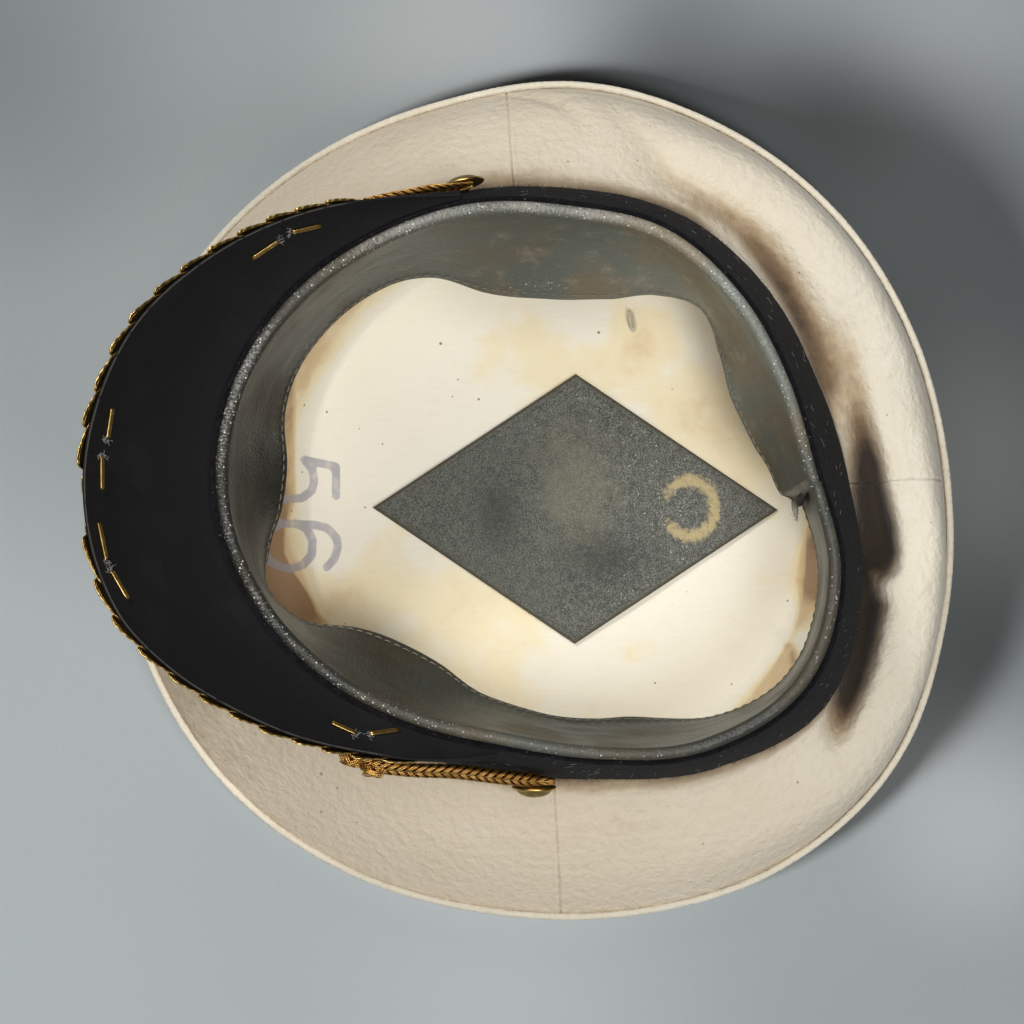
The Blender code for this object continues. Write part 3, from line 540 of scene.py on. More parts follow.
CREAM, WOOL, LEATHER = cream_cotton(), black_wool(), band_leather()
PATCH, LINING, BOARD = patch_leather(), lining_cotton(), peak_board()
GILT, WIRE = gilt_metal(), gilt_wire()
HEM_THREAD = sewing_thread("hem_thread", (0.30, 0.28, 0.22), (0.12, 0.11, 0.08))
PATCH_THREAD = sewing_thread("patch_thread", (0.26, 0.25, 0.21), (0.09, 0.09, 0.07))
WHITE_THREAD = sewing_thread("white_thread", (0.75, 0.72, 0.64), (0.40, 0.34, 0.26))
LINT, DARK_FIBRE = fibre("lint", (0.42, 0.41, 0.40)), fibre("dark_fibre", (0.02, 0.02, 0.022))
FRAY = fibre("leather_fray", (0.42, 0.38, 0.32))


# Curves and lines shared by the pieces


def curve_round(table, turn, column=1):
    """A smooth closed curve through one column of a table."""
    knots, values = table[:, 0], table[:, column]
    count = len(knots)
    turn = (np.asarray(turn, float) - knots[0]) % 360 + knots[0]
    i = np.searchsorted(knots, turn, side="right") - 1
    near = [i + k for k in (-1, 0, 1, 2)]
    t0, t1, t2, t3 = (knots[k % count] + 360 * (k // count) for k in near)
    v0, v1, v2, v3 = (values[k % count] for k in near)
    span = t2 - t1
    slope_1, slope_2 = (v2 - v0) / (t2 - t0), (v3 - v1) / (t3 - t1)
    x = (turn - t1) / span
    rise = 3 * x**2 - 2 * x**3
    leave = (x**3 - 2 * x**2 + x) * slope_1 * span
    return v1 + (v2 - v1) * rise + leave + (x**3 - x**2) * slope_2 * span


def section(column, turn):
    return curve_round(SECTIONS, turn, column)


def front_to_rear(pair, turn):
    front, rear = pair
    return (front + rear) / 2 + (front - rear) / 2 * np.cos(np.radians(turn))


def outward(turn):
    angle = np.radians(turn)
    return np.stack(np.broadcast_arrays(np.sin(angle), -np.cos(angle), 0.0), axis=-1)


def forward(turn):
    return outward(np.asarray(turn) + 90)


def place(turn, radius, height):
    angle = np.radians(turn)
    x = np.sin(angle) * radius + MIDDLE_X
    y = -np.cos(angle) * radius + MIDDLE_Y
    return np.stack(np.broadcast_arrays(x, y, height), axis=-1)


def from_middle(points):
    """X and y from the crown's middle, in millimetres."""
    return (points[..., 0] - MIDDLE_X) / MM, (points[..., 1] - MIDDLE_Y) / MM


def unit(vectors):
    return vectors / np.maximum(np.linalg.norm(vectors, axis=-1, keepdims=True), 1e-12)


def rim_radius(turn):
    return CROWN_RADIUS * section(RIM, turn)


def rim_height(turn):
    return front_to_rear(RIM_LIFT, turn)


def band_foot(turn):
    return rim_height(turn) + front_to_rear(QUARTER_RISE, turn)


def mouth_radius(turn):
    return HEAD_RADIUS * section(MOUTH, turn)


def mouth_height(turn):
    return band_foot(turn) + BAND_HEIGHT


def band_profile(turn, up):
    """Radius and height of the band's outer face, from its crown edge at up 0 to its head edge."""
    foot = mouth_radius(turn) + BAND_FLARE * section(FLARE, turn)
    head = mouth_radius(turn) + BAND_EDGE_OUT
    radius = blend(foot, head, up) + BAND_BELLY * np.sin(math.pi * up)
    return radius, blend(band_foot(turn), mouth_height(turn) - BAND_EDGE_DROP, up)


def band_face_radius(turn, height):
    foot = band_foot(turn)
    up = (height - foot) / (mouth_height(turn) - BAND_EDGE_DROP - foot)
    return band_profile(turn, up)[0]


def lumps(points, size, seed=0):
    """Soft noise from -1 to 1 over space, with bumps of the given size."""
    spot = points / size + np.array((17.3, 41.7, 9.1)) * (seed + 1)
    cell = np.floor(spot).astype(np.int64)
    part = spot - cell
    part = part * part * (3 - 2 * part)
    total = 0.0
    for corner in np.ndindex(2, 2, 2):
        n = 0
        for k, prime in enumerate((73856093, 19349663, 83492791)):
            n = n ^ (cell[..., k] + corner[k]) * prime
        n = n & 0xFFFFFFFF
        for shift, factor in ((15, 2246822519), (13, 3266489917)):
            n = ((n ^ (n >> shift)) * factor) & 0xFFFFFFFF
        value = (n ^ (n >> 16)) / 0x7FFFFFFF - 1
        for k in range(3):
            value = value * (part[..., k] if corner[k] else 1 - part[..., k])
        total = total + value
    return total


def lengths_along(points):
    """How far along each row of points each point is."""
    steps = np.linalg.norm(np.diff(points, axis=-2), axis=-1)
    zero = np.zeros(steps.shape[:-1] + (1,))
    return np.concatenate([zero, np.cumsum(steps, axis=-1)], axis=-1)


def points_at(spots, lengths, points):
    """The points of a line at the given lengths along it."""
    return np.stack([np.interp(spots, lengths, points[:, k]) for k in range(3)], axis=-1)


def nearest_on(x, y, line):
    """How far a line of rows is, and its row where it is nearest. Rows begin with x and y."""
    line = np.array(line, float)
    nearest, row = np.full(x.shape, np.inf), np.zeros((*x.shape, line.shape[1]))
    for a, b in zip(line, line[1:]):
        step = b[:2] - a[:2]
        run = np.clip(((x - a[0]) * step[0] + (y - a[1]) * step[1]) / (step @ step), 0, 1)
        spot = blend(a, b, run[..., None])
        apart = np.hypot(x - spot[..., 0], y - spot[..., 1])
        closer = apart < nearest
        nearest = np.where(closer, apart, nearest)
        row = np.where(closer[..., None], spot, row)
    return nearest, row


# Making meshes. A body is its points, its faces, and a place for each point.


def grid_faces(rows, columns, close_rows=False, close_columns=False):
    i, j = np.meshgrid(
        np.arange(rows if close_rows else rows - 1),
        np.arange(columns if close_columns else columns - 1),
        indexing="ij",
    )
    a, b = i * columns + j, i * columns + (j + 1) % columns
    c, d = (i + 1) % rows * columns + (j + 1) % columns, (i + 1) % rows * columns + j
    return np.stack([a, d, c, b], axis=-1).reshape(-1, 4).tolist()


def ringed_body(rings, places=0.0, closed=False):
    """A body of rings one behind the other, with a flat end at each side."""
    count, columns = rings.shape[:2]
    faces = grid_faces(count, columns, close_rows=closed, close_columns=True)
    if not closed:
        faces.append(list(range(columns)))
        faces.append([(count - 1) * columns + k for k in reversed(range(columns))])
    return as_body(rings, faces, places)


def as_body(rings, faces, places=0.0):
    points = rings.reshape(-1, 3)
    return points, faces, np.broadcast_to(places, rings.shape).reshape(points.shape).copy()


def between_sheets(front, back, places=0.0):
    """A body between two sheets of points."""
    rings = np.concatenate([front, back[:, ::-1]], axis=1)
    count, columns = rings.shape[:2]
    faces = grid_faces(count, columns, close_columns=True)
    for first in (0, (count - 1) * columns):
        strip = [
            [first + j, first + j + 1, first + columns - 2 - j, first + columns - 1 - j]
            for j in range(columns // 2 - 1)
        ]
        faces += strip if first else [f[::-1] for f in strip]
    return as_body(rings, faces, places)


def between_rounds(front, back, places=0.0):
    """A body between two round sheets, whose rows run out from the middle."""
    rings = np.concatenate([front, back[:, ::-1]], axis=1)
    count, columns = rings.shape[:2]
    faces = grid_faces(count, columns, close_rows=True)
    faces.append([k * columns for k in range(count)])
    faces.append([k * columns + columns - 1 for k in reversed(range(count))])
    return as_body(rings, faces, places)


def signed_volume(points, faces):
    total = 0.0
    by_size = {}
    for face in faces:
        by_size.setdefault(len(face), []).append(face)
    for size, group in by_size.items():
        corners = points[np.array(group)]
        for k in range(1, size - 1):
            cross = np.cross(corners[:, k], corners[:, k + 1])
            total += np.einsum("ij,ij->i", corners[:, 0], cross).sum()
    return total


def piece(name, bodies, finish, marks=None, replaces=()):
    """A piece made of one or more closed bodies."""
    points, faces, places, base = [], [], [], 0
    for body_points, body_faces, body_places in bodies:
        if signed_volume(body_points, body_faces) < 0:
            body_faces = [face[::-1] for face in body_faces]
        points.append(body_points)
        places.append(body_places)
        faces += [[k + base for k in face] for face in body_faces] if base else body_faces
        base += len(body_points)
    mesh = bpy.data.meshes.new(name)
    mesh.from_pydata(np.concatenate(points).tolist(), [], faces)
    layer = mesh.attributes.new("place", "FLOAT_VECTOR", "POINT")
    layer.data.foreach_set("vector", np.concatenate(places).astype(np.float32).ravel())
    for mark, values in (marks or {}).items():
        layer = mesh.attributes.new(mark, "FLOAT", "POINT")
        layer.data.foreach_set("value", np.asarray(values, np.float32).ravel())
    mesh.materials.append(finish)
    mesh.shade_smooth()
    thing = add_object(name, mesh)
    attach(thing, "root")
    if replaces:
        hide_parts(*replaces)


ARC = np.radians((30, 90, 150))


def wall_rings(face, turn, wall):
    """Rings through a wall: its seen face, a round end, its back and the other round end."""
    wall = np.broadcast_to(np.asarray(wall, float), face.shape[1:2])
    run = np.gradient(face, axis=1)
    normal = unit(np.cross(np.broadcast_to(forward(turn)[:, None], run.shape), run))
    back = face - normal * wall[:, None]
    ends = []
    for k, way in ((-1, 1), (0, -1)):
        middle, half = (face[:, k] + back[:, k]) / 2, wall[k] / 2
        across, tip = normal[:, k] * way, unit(run[:, k]) * way
        arc = [middle + half * (across * math.cos(a) + tip * math.sin(a)) for a in ARC]
        ends.append(np.stack(arc, axis=1))
    return np.concatenate([face, ends[0], back[:, ::-1], ends[1]], axis=1)


def through_wall(values):
    """Values of a wall's seen face, carried over its round ends and its back."""
    ends = (np.repeat(values[:, k], len(ARC), axis=1) for k in (slice(-1, None), slice(0, 1)))
    tail, head = ends
    return np.concatenate([values, tail, values[:, ::-1], head], axis=1)


def wall_body(face, turn, wall, marks_u, extra=0.0, closed=False):
    """A closed body of one wall thickness, whose seen face goes through the points."""
    rings = wall_rings(face, turn, wall)
    count, columns = rings.shape[:2]
    n = face.shape[1]
    v = through_wall(lengths_along(face))
    u = np.broadcast_to(np.reshape(marks_u, (count, 1)), v.shape)
    extra = through_wall(np.broadcast_to(extra, (count, n)))
    faces = grid_faces(count, columns, close_rows=closed, close_columns=True)
    for first in () if closed else (0, (count - 1) * columns):
        last = first + 2 * n + 2
        strip = [[first + j, first + j + 1, last - j - 1, last - j] for j in range(n - 1)]
        strip.append([first + n - 1 + j for j in range(5)])
        strip.append([first + (2 * n + 2 + j) % columns for j in range(5)])
        faces += strip if first else [f[::-1] for f in strip]
    return as_body(rings, faces, np.stack([u, v, extra], axis=-1))


def tube(path, radius, sides=8, closed=False, flat=1.0):
    """A closed body along a path. Radius may vary along it, and flat squashes its section."""
    path = np.asarray(path, float)
    if closed:
        ahead = unit(np.roll(path, -1, axis=0) - np.roll(path, 1, axis=0))
    else:
        ahead = unit(np.gradient(path, axis=0))
    side = np.zeros_like(ahead)
    steep = abs(UP @ ahead[0]) >= 0.98
    last = unit(np.array((1.0, 0, 0)) if steep else np.cross(UP, ahead[0]))
    for k, way in enumerate(ahead):
        last = last - way * (last @ way)
        last = last / max(np.linalg.norm(last), 1e-9)
        side[k] = last
    other = np.cross(ahead, side)
    radius = np.broadcast_to(np.asarray(radius, float), (len(path),))
    angle = np.arange(sides) * 2 * math.pi / sides
    spokes = side[:, None] * np.cos(angle)[None, :, None]
    spokes = spokes + other[:, None] * np.sin(angle)[None, :, None] * flat
    length = lengths_along(path)[:, None]
    places = np.stack(np.broadcast_arrays(length, angle[None] / (2 * math.pi), 0.0), axis=-1)
    return ringed_body(path[:, None] + spokes * radius[:, None, None], places, closed)


def stitches(path, lift, pitch, length, radius):
    """Short rounded stitches laid end to end along a path, in millimetres, that lift off it."""
    pitch, length, radius = pitch * MM, length * MM, radius * MM
    along = lengths_along(path)
    dip = np.array((-0.6, 0.5, 1.0, 0.5, -0.6))[:, None] * radius
    bodies = []
    for k in range(int(along[-1] / pitch)):
        start = k * pitch + pitch * 0.1
        spots = np.linspace(start, start + length, 5)
        points = points_at(spots, along, path) + points_at(spots, along, lift) * dip
        bodies.append(tube(points, radius * np.array((0.55, 1.0, 1.1, 1.0, 0.55)), 5))
    return bodies


# Crown


def creased(points):
    """How far the creases push the cloth down, swell it and draw its rim side over them, and how much
    painted shade they get."""
    x, y = from_middle(points)
    down, swell, drawn, dark = (np.zeros(x.shape) for _ in range(4))
    for spots in CREASES:
        nearest, row = nearest_on(x, y, spots)
        row_x, row_y, depth, inner, outer, swells, draws = np.moveaxis(row, -1, 0)
        past = np.hypot(x, y) > np.hypot(row_x, row_y)
        spread = np.where(past, outer, inner)
        down += depth * bell(nearest, spread)
        # Painted shade in the crease, darkest where it is deepest.
        shade = np.where(past, 0.62 * outer, 0.85 * inner)
        dark += depth / 11 * (0.74 * bell(nearest, shade) + 0.26 * bell(nearest, 2.1 * shade))
        swell += swells * past * bell(nearest - 2.2 * spread, 2.0 * spread + 1.5)
        drawn += draws * past * bell(nearest - 1.5 * spread, 0.9 * spread)
    return down * MM, swell * MM, drawn * MM, dark


def quarter_face(turn, along, seam_gap):
    """The side cloth from the rim at along 0 to the band at along 1, and its creases' painted shade.
    """
    slack = section(SLACK, turn)
    low_r = rim_radius(turn) - 2 * PIPING_RADIUS + 0.1 * MM
    low_z = rim_height(turn) + 0.5 * PIPING_RADIUS
    foot_r, foot_z = band_profile(turn, 0.0)
    high_r, high_z = foot_r - BAND_WALL / 2, foot_z - 1.5 * GAP - slack * CLOTH / 2
    dr, dz = high_r - low_r, high_z - low_z
    chord = np.hypot(dr, dz)
    flat = place(turn, low_r + dr * along, low_z + dz * along)
    down, swell, drawn, dark = creased(flat)
    fade = np.sin(math.pi * along)
    hold, ease = np.minimum(1, 4 * fade), np.minimum(1, 7 * fade)
    loose = hold * (0.15 + 0.85 * slack) * MM
    roll = ROLL * slack * bell(along - 0.34, 0.26) * np.minimum(1, along / 0.13) ** 0.8
    sag = 0.55 * SAG * slack * bell(along - 0.84, 0.16) * np.minimum(1, (1 - along) / 0.15)
    lift = PUFF * (1 - slack) * fade + roll - sag + swell * hold
    lift = lift + loose * (0.45 * lumps(flat, 0.024, 1) + 0.10 * slack * lumps(flat, 0.008, 2))
    lift = lift - MM * (0.35 * bell(seam_gap, 0.4 * MM) - 0.18 * bell(seam_gap - MM, 0.5 * MM))
    lift = lift - hold * 0.06 * MM * np.exp(-seam_gap / (5 * MM)) * lumps(flat, 0.004, 3)
    lift = lift - (0.2 + 0.8 * slack) * 0.45 * MM * bell(along * chord, 1.2 * MM)
    out, rise = dz / chord * lift, dr / chord * lift
    face = place(turn, low_r + dr * along + out, low_z + dz * along - rise)
    face[..., 2] -= down * ease
    return face - outward(turn) * (drawn * ease)[..., None], dark


def quarter_grime_and_shade(turn, along, seam_gap, dark):
    """Dirt at the seams and rim, and painted shade by the piping, band and peak and in the creases.
    """
    slack = section(SLACK, turn)
    gap = (1 - along) * (rim_radius(turn) - band_profile(turn, 0.0)[0]) / MM
    # The band's painted shadow on the cloth beside it, narrower near turn 219.
    shelf = bell(turn - 219, 14, 4)
    reach = blend(6.8, 2.0, shelf) + 3.0 * bell(turn - 266, 16)
    band = (1.25 - 0.65 * shelf) * np.clip(1 - gap / reach, 0, 1)
    # Painted shade in the creases.
    crease_shade = 1.85 * np.clip(dark, 0, 1.0) ** 1.15
    # Painted shade in the groove inside the piping, more on slack cloth.
    groove = (0.30 + 0.35 * slack) * np.exp(-along / 0.022)
    seam = 0.22 * bell(seam_gap, 0.35 * MM) - 0.12 * bell(seam_gap - MM, 0.4 * MM)
    rim = 0.26 * slack * bell(along, 0.14)
    # Painted shade in a shallow hollow of the rear cloth, and near the band at turn 237.
    dip_shade = 0.80 * bell(turn - 197, 8) * np.clip(1 - gap / 17, 0, 1) ** 0.7
    dip_shade = dip_shade + 0.5 * bell(turn - 237, 6) * np.clip((13 - gap) / 5, 0, 1)
    # The peak's painted shadow on the front cloth, and the taut cloth a little darker.
    front = 0.50 * bell(turn - 24, 14) + 0.10 * (1 - slack)
    return groove + np.maximum(band, crease_shade) + seam + rim + dip_shade + front


def quarter(side, start, stop):
    """One side panel. The rear two are slack and folded, so they have the finer mesh."""
    turns, rows = (190, 110) if side.startswith("rear") else (130, 64)
    trim = math.degrees(0.02 * MM / CROWN_RADIUS)
    near = np.degrees(np.array((0, 0.25, 0.5, 0.8, 1.2, 1.8, 2.6)) * MM / CROWN_RADIUS)
    inner = np.linspace(start + near[-1] + 0.6, stop - near[-1] - 0.6, turns)
    turn = np.concatenate([start + trim + near, inner, (stop - trim - near)[::-1]])[:, None]
    even = np.linspace(0, 1, rows)
    along = blend((1 - np.cos(even * math.pi)) / 2, even, 0.55)[None]
    seam_gap = np.radians(np.minimum(turn - start, stop - turn)) * CROWN_RADIUS
    face, dark = quarter_face(turn, along, seam_gap)
    grime_and_shade = quarter_grime_and_shade(turn, along, seam_gap, dark)
    body = wall_body(face, turn[:, 0], CLOTH, np.radians(turn) * CROWN_RADIUS, grime_and_shade)
    slack = section(SLACK, turn)
    # A warmer tint on the taut cloth; by the slack cloth's rim, painted warm light on its shaded
    # flank.
    warm_tint_and_light = through_wall(np.maximum(1 - slack, slack * bell(along, 0.12)))
    name = f"side_cloth_{side}"
    piece(name, [body], CREAM, {"warm_tint_and_light": warm_tint_and_light}, [f"quarter_{side}"])


def piping():
    turn = np.linspace(0, 360, 721)[:-1]
    pucker = np.cos(np.radians(turn) * CROWN_RADIUS * 2 * math.pi / (2.6 * MM))
    middle = place(turn, rim_radius(turn) - PIPING_RADIUS, rim_height(turn))
    radius = PIPING_RADIUS * (1 + 0.045 * pucker + 0.06 * lumps(middle, 0.006, 4))
    points, faces, places = tube(middle, radius, sides=12, closed=True)
    places[:, 2] = 0.10 + 0.1 * lumps(points, 0.02, 5)
    places[:, 1] = points[:, 2]
    piece("edge_cord", [(points, faces, places)], CREAM, replaces=["edge_piping"])


def crown_face():
    turn = np.linspace(0, 360, 241)[:-1][:, None]
    edge = rim_radius(turn) - 2 * PIPING_RADIUS - 0.1 * MM
    flat = 0.72 * rim_radius(turn)
    radius = np.concatenate([[0.04, 0.25, 0.5, 0.70], np.linspace(0.74, 1.0, 14)])[None] * edge
    share = np.clip((radius - flat) / (edge - flat), 0, 1)
    under = place(turn, radius, (rim_height(turn) - CLOTH - GAP) * share**2)
    under[..., 2] += np.abs(share * 0.12 * MM * np.sin(turn * 2.3) * bell(1 - share, 0.4))
    radial = np.concatenate([radius, radius[:, ::-1]], axis=1)
    angle = np.radians(turn)
    places = np.stack([radial * np.sin(angle), radial * np.cos(angle), 0.08 + 0 * radial], axis=-1)
    body = between_rounds(under, under + UP * CLOTH, places)
    piece("crown_face", [body], CREAM, replaces=["crown_top"])


# Band


def wool_band():
    turn = np.linspace(0, 360, 541)[:-1][:, None]
    radius, height = band_profile(turn, np.linspace(0, 1, 26)[None])
    face = place(turn, radius, height)
    nap = 0.10 * MM * lumps(face, 0.0022, 6) + 0.25 * MM * lumps(face, 0.013, 7)
    face = face + outward(turn) * nap[..., None]
    body = wall_body(face, turn[:, 0], BAND_WALL, np.radians(turn) * 0.09, closed=True)
    piece("wool_band", [body], WOOL, replaces=["cap_band"])


# Sweatband

# Turn, then painted light and shade on the sweatband's wall there, and how scuffed its rolled edge
# is.
LEATHER_SHADING_AND_SCUFF = np.array((
    (0, 0.36, 0.92), (20, 0.40, 0.88), (40, 0.60, 0.76), (62, 1.10, 0.60), (80, 1.60, 0.62),
    (107, 1.15, 0.55), (125, 0.80, 0.26), (145, 0.95, 0.52), (165, 1.00, 0.70), (180, 1.40, 0.80),
    (200, 3.00, 0.95), (230, 3.70, 1.00), (255, 2.80, 1.10), (270, 2.30, 1.15), (286, 2.30, 1.10),
    (300, 1.35, 1.00), (320, 0.85, 0.92), (340, 0.42, 0.92),
))


def sweatband_profile(turn, roll_steps=10, wall_steps=34):
    """Radius and height from the outer lip over the rolled edge and down to the hem."""
    head, mouth, half = mouth_height(turn), mouth_radius(turn), ROLLED_EDGE / 2
    angle = np.linspace(math.pi, 0, roll_steps)[None]
    reach = SWEATBAND_DEPTH * curve_round(HEM_BENDS, turn) - ROLLED_EDGE
    drop = np.sqrt(SWEATBAND_DEPTH**2 - reach**2)
    share = np.linspace(0, 1, wall_steps + 1)[None, 1:]
    radii = mouth - half - half * np.cos(angle), mouth - ROLLED_EDGE - reach * share**HEM_CURVE
    heights = head + half * np.sin(angle), head - drop * share
    return np.concatenate(radii, axis=1), np.concatenate(heights, axis=1)


def joint_curl(turn, share):
    """How far the sweatband's upper end curls in by the rear joint, and its lower end tucks out."""
    past = np.radians((turn - JOINT_TURN) % 360) * HEAD_RADIUS
    before = np.radians((JOINT_TURN + 1.3 - turn) % 360) * HEAD_RADIUS
    curl = 0.7 * MM * bell(past, 1.6 * MM) * np.sin(math.pi * np.clip(share, 0, 1))
    return curl - 1.5 * MM * bell(before, 6 * MM) * np.clip(share * 3, 0.25, 1)


def joint_lean(face, turn, share):
    """Turns the upper end of the sweatband so that its cut edge leans, as sewn."""
    lean = np.interp(share, (0, 0.2, 0.5, 1), (-0.2, 0.0, -0.5, -1.6))
    angle = np.radians(lean * bell((turn - JOINT_TURN) % 360, 7))
    x, y = face[..., 0] - MIDDLE_X, face[..., 1] - MIDDLE_Y
    turned = face.copy()
    turned[..., 0] = x * np.cos(angle) - y * np.sin(angle) + MIDDLE_X
    turned[..., 1] = x * np.sin(angle) + y * np.cos(angle) + MIDDLE_Y
    return turned


def sweatband_face(turn):
    radius, height = sweatband_profile(turn)
    share = np.linspace(0, 1, radius.shape[1])[None]
    flat = place(turn, radius, height)
    wave = 0.5 * MM * lumps(flat * np.array((1, 1, 0.4)), 0.020, 8)
    wave = wave + 0.22 * MM * lumps(flat * np.array((1, 1, 2.2)), 0.009, 9)
    wave = wave * np.clip((share - 0.16) * 5, 0, 1) * np.clip((1.02 - share) * 12, 0.15, 1)
    from_hem = (1 - share) * SWEATBAND_DEPTH
    hem = 0.35 * bell(from_hem, 0.6 * MM) - 0.25 * bell(from_hem - 1.5 * MM, 0.4 * MM)
    inward = wave + hem * MM + joint_curl(turn, share)
    return joint_lean(flat - outward(turn) * inward[..., None], turn, share)


def sweatband():
    start, stop = JOINT_TURN + 0.2, JOINT_TURN + 361.3
    turn = np.linspace(start, stop, 520)[:, None]
    face = sweatband_face(turn)
    v = lengths_along(face)
    from_hem = v[:, -1:] - v
    crest = ROLLED_EDGE * math.pi / 2 * 0.42
    scuff_and_sheen = bell(v - crest, 3.5 * MM) * (0.85 + 0.25 * lumps(face, 0.012, 10))
    scuff_and_sheen = scuff_and_sheen * curve_round(LEATHER_SHADING_AND_SCUFF, turn, 2)
    scuff_and_sheen = scuff_and_sheen + 0.35 * bell(v - 9 * MM, 2.5 * MM) * (0.4 + lumps(face, 0.009, 11))
    scuff_and_sheen = scuff_and_sheen + 0.80 * bell(turn - 212, 26, 4) * bell(from_hem - 2.2 * MM, 2.6 * MM)
    # A painted highlight: the sheen on the top wall by the hem, laid as pale specks and glints.
    scuff_and_sheen = scuff_and_sheen + 0.70 * bell(turn - 268, 20) * bell(from_hem - 5.5 * MM, 3.6 * MM)
    marks_u = np.radians(turn) * HEAD_RADIUS
    body = wall_body(face, turn[:, 0], SWEATBAND_WALL, marks_u, np.clip(scuff_and_sheen, 0, 1.3))
    # Painted light and shade on the wall, by turn.
    wall_shading = np.repeat(curve_round(LEATHER_SHADING_AND_SCUFF, turn[:, 0]), len(body[0]) // len(turn))
    piece("leather_sweatband", [body], LEATHER, {"wall_shading": wall_shading}, ["sweatband"])
    lift = unit(np.cross(forward(turn[:, 0]), face[:, -1] - face[:, -4]))
    hem = blend(face[:, -1], face[:, -3], 0.55) + lift * 0.12 * MM
    piece("hem_stitches", stitches(hem, lift, *HEM_STITCH), HEM_THREAD)
    joint_ends(face[0], outward(start), forward(start))


def joint_ends(edge, out, ahead):
    """The sweatband's cut edge, painted shade in the gap beside it, and the frayed end of its hem."""
    cut = tube(edge[6:] - out * 0.15 * MM, 0.17 * MM, 6)
    piece("joint_cut_edge", [cut], LINT)
    size = 1.9 * MM * np.sin(np.linspace(0.15, math.pi - 0.15, 14)) ** 0.7
    # A dark body in the gap beside the cut edge: painted shade.
    gap = tube(edge[22:36] - ahead * 1.6 * MM - out * 0.1 * MM, size, 8, flat=0.5)
    piece("joint_gap_shade", [gap], DARK_FIBRE)
    draw = np.random.default_rng(21)
    t = np.linspace(0, 1, 14)[:, None]
    hem_end = edge[-2] - ahead * (t * 5.4 * MM) + out * (t**2 * 0.5 * MM)
    strands = [tube(hem_end, 1.0 * MM * (1.1 - t[:, 0] ** 3), 8, flat=0.5)]
    for _ in range(22):
        root = hem_end[draw.integers(7, 14)] + draw.normal(0, 0.3, 3) * MM
        way = unit(draw.normal(size=3) - 1.2 * ahead + (0, 0, 0.5))
        reach = np.linspace(0, draw.uniform(0.8, 2.0), 4)[:, None] * MM
        strands.append(tube(root + way * reach, 0.06 * MM, 4))
    piece("joint_hem_end", strands, FRAY)


# Lining

# How far the slack lining is out and up, both shares of the way from its floor to its top.
LINING_BENDS = ((-0.02, 0.0), (0.02, 0.08), (0.06, 0.45), (0.20, 0.70), (0.60, 0.88), (1.00, 1.00))

# Strokes of the plain size number, each a line of points in millimetres from the crown's middle.
NUMBER_STROKES = (
    ((-5.6, -64.7), (-15.2, -64.1), (-17.9, -74.1)),
    ((-17.9, -74.1), (-14.8, -71.8), (-10.7, -71.5), (-7.9, -72.4), (-5.4, -75.7), (-4.7, -83.0)),
    (
        (2.7, -84.1), (3.3, -72.6), (4.7, -68.1), (8.1, -65.3), (10.9, -65.0), (14.9, -66.4),
        (17.5, -69.1),
    ),
    (
        (2.9, -78.0), (4.4, -75.0), (8.1, -73.1), (13.1, -73.6), (16.6, -76.6), (17.7, -80.3),
        (16.4, -83.9), (13.5, -86.5), (9.0, -87.2), (5.0, -85.0), (3.0, -81.5), (2.9, -78.0),
    ),
)

# Stains and painted light on the lining: place in millimetres, size in millimetres, and strength. A
# negative strength is a paler place. The rows near y 88 and the two at y -74 and -66 are painted
# shade, and the row at 51, 83 is a painted highlight on a fold's facet.
STAINS_AND_SHADING = (
    (-10, -60, 26, -0.55), (20, 20, 18, -0.45), (35, 45, 22, -0.40), (-45, -45, 16, -0.35),
    (-40, 10, 22, 0.38), (-25, 55, 20, 0.42), (30, -40, 22, 0.40), (45, -10, 20, 0.35),
    (10, -50, 14, 0.32), (-5, 70, 16, 0.45), (48, 30, 14, 0.30), (-48, 40, 14, 0.35),
    (20, 89.0, 4, 0.9), (26, 88.5, 4, 1.1), (32, 88.0, 4, 1.2), (38, 88.5, 3.5, 1.0),
    (51, 83, 4, -1.2), (20, -74, 7, 0.4), (30, -66, 8, 0.5),
)

# The edge of the shaded strip by the sweatband's front: x and y in millimetres.
SHADED_EDGE = np.array((
    (-60, -66), (-44.2, -74.5), (-31.1, -75.9), (-5.0, -77.4), (4.6, -80.9), (12.7, -81.7),
    (18.7, -79.5), (23.0, -76.9), (27.8, -74.1), (32.2, -72.4), (40, -66),
))
# A fold of the lining, seen at the rear right.
FOLD = np.array(((40, 69.5), (44.5, 74.0), (48.9, 77.6), (54.0, 78.6), (60.5, 77.2), (66.5, 74.5)))


def lining_face(turn):
    """The lining's inner face: out over its floor, then up its wall. Also its radius and height."""
    floor_r = HEAD_RADIUS * section(FLOOR, turn)
    top = blend(band_foot(turn), mouth_height(turn), LINING_TOP)
    edge = band_face_radius(turn, top) - BAND_WALL - 2 * GAP - LINING_WALL
    floor = np.linspace(0.05, 0.96, 72)[None]
    up = np.linspace(0, 1, 34)[None] ** 1.15
    outs, ups = np.array(LINING_BENDS).T
    out = blend(up, np.interp(up, ups, outs), section(SLACK, turn))
    wall = blend(floor_r, edge, out) - np.exp(-up / 0.06) * floor_r * 0.02
    radius = np.concatenate([floor_r * floor, wall], axis=1)
    heights = FLOOR_HEIGHT + 0 * floor_r * floor, blend(FLOOR_HEIGHT, top, up)
    height = np.concatenate(heights, axis=1)
    return place(turn, radius, height), radius, height


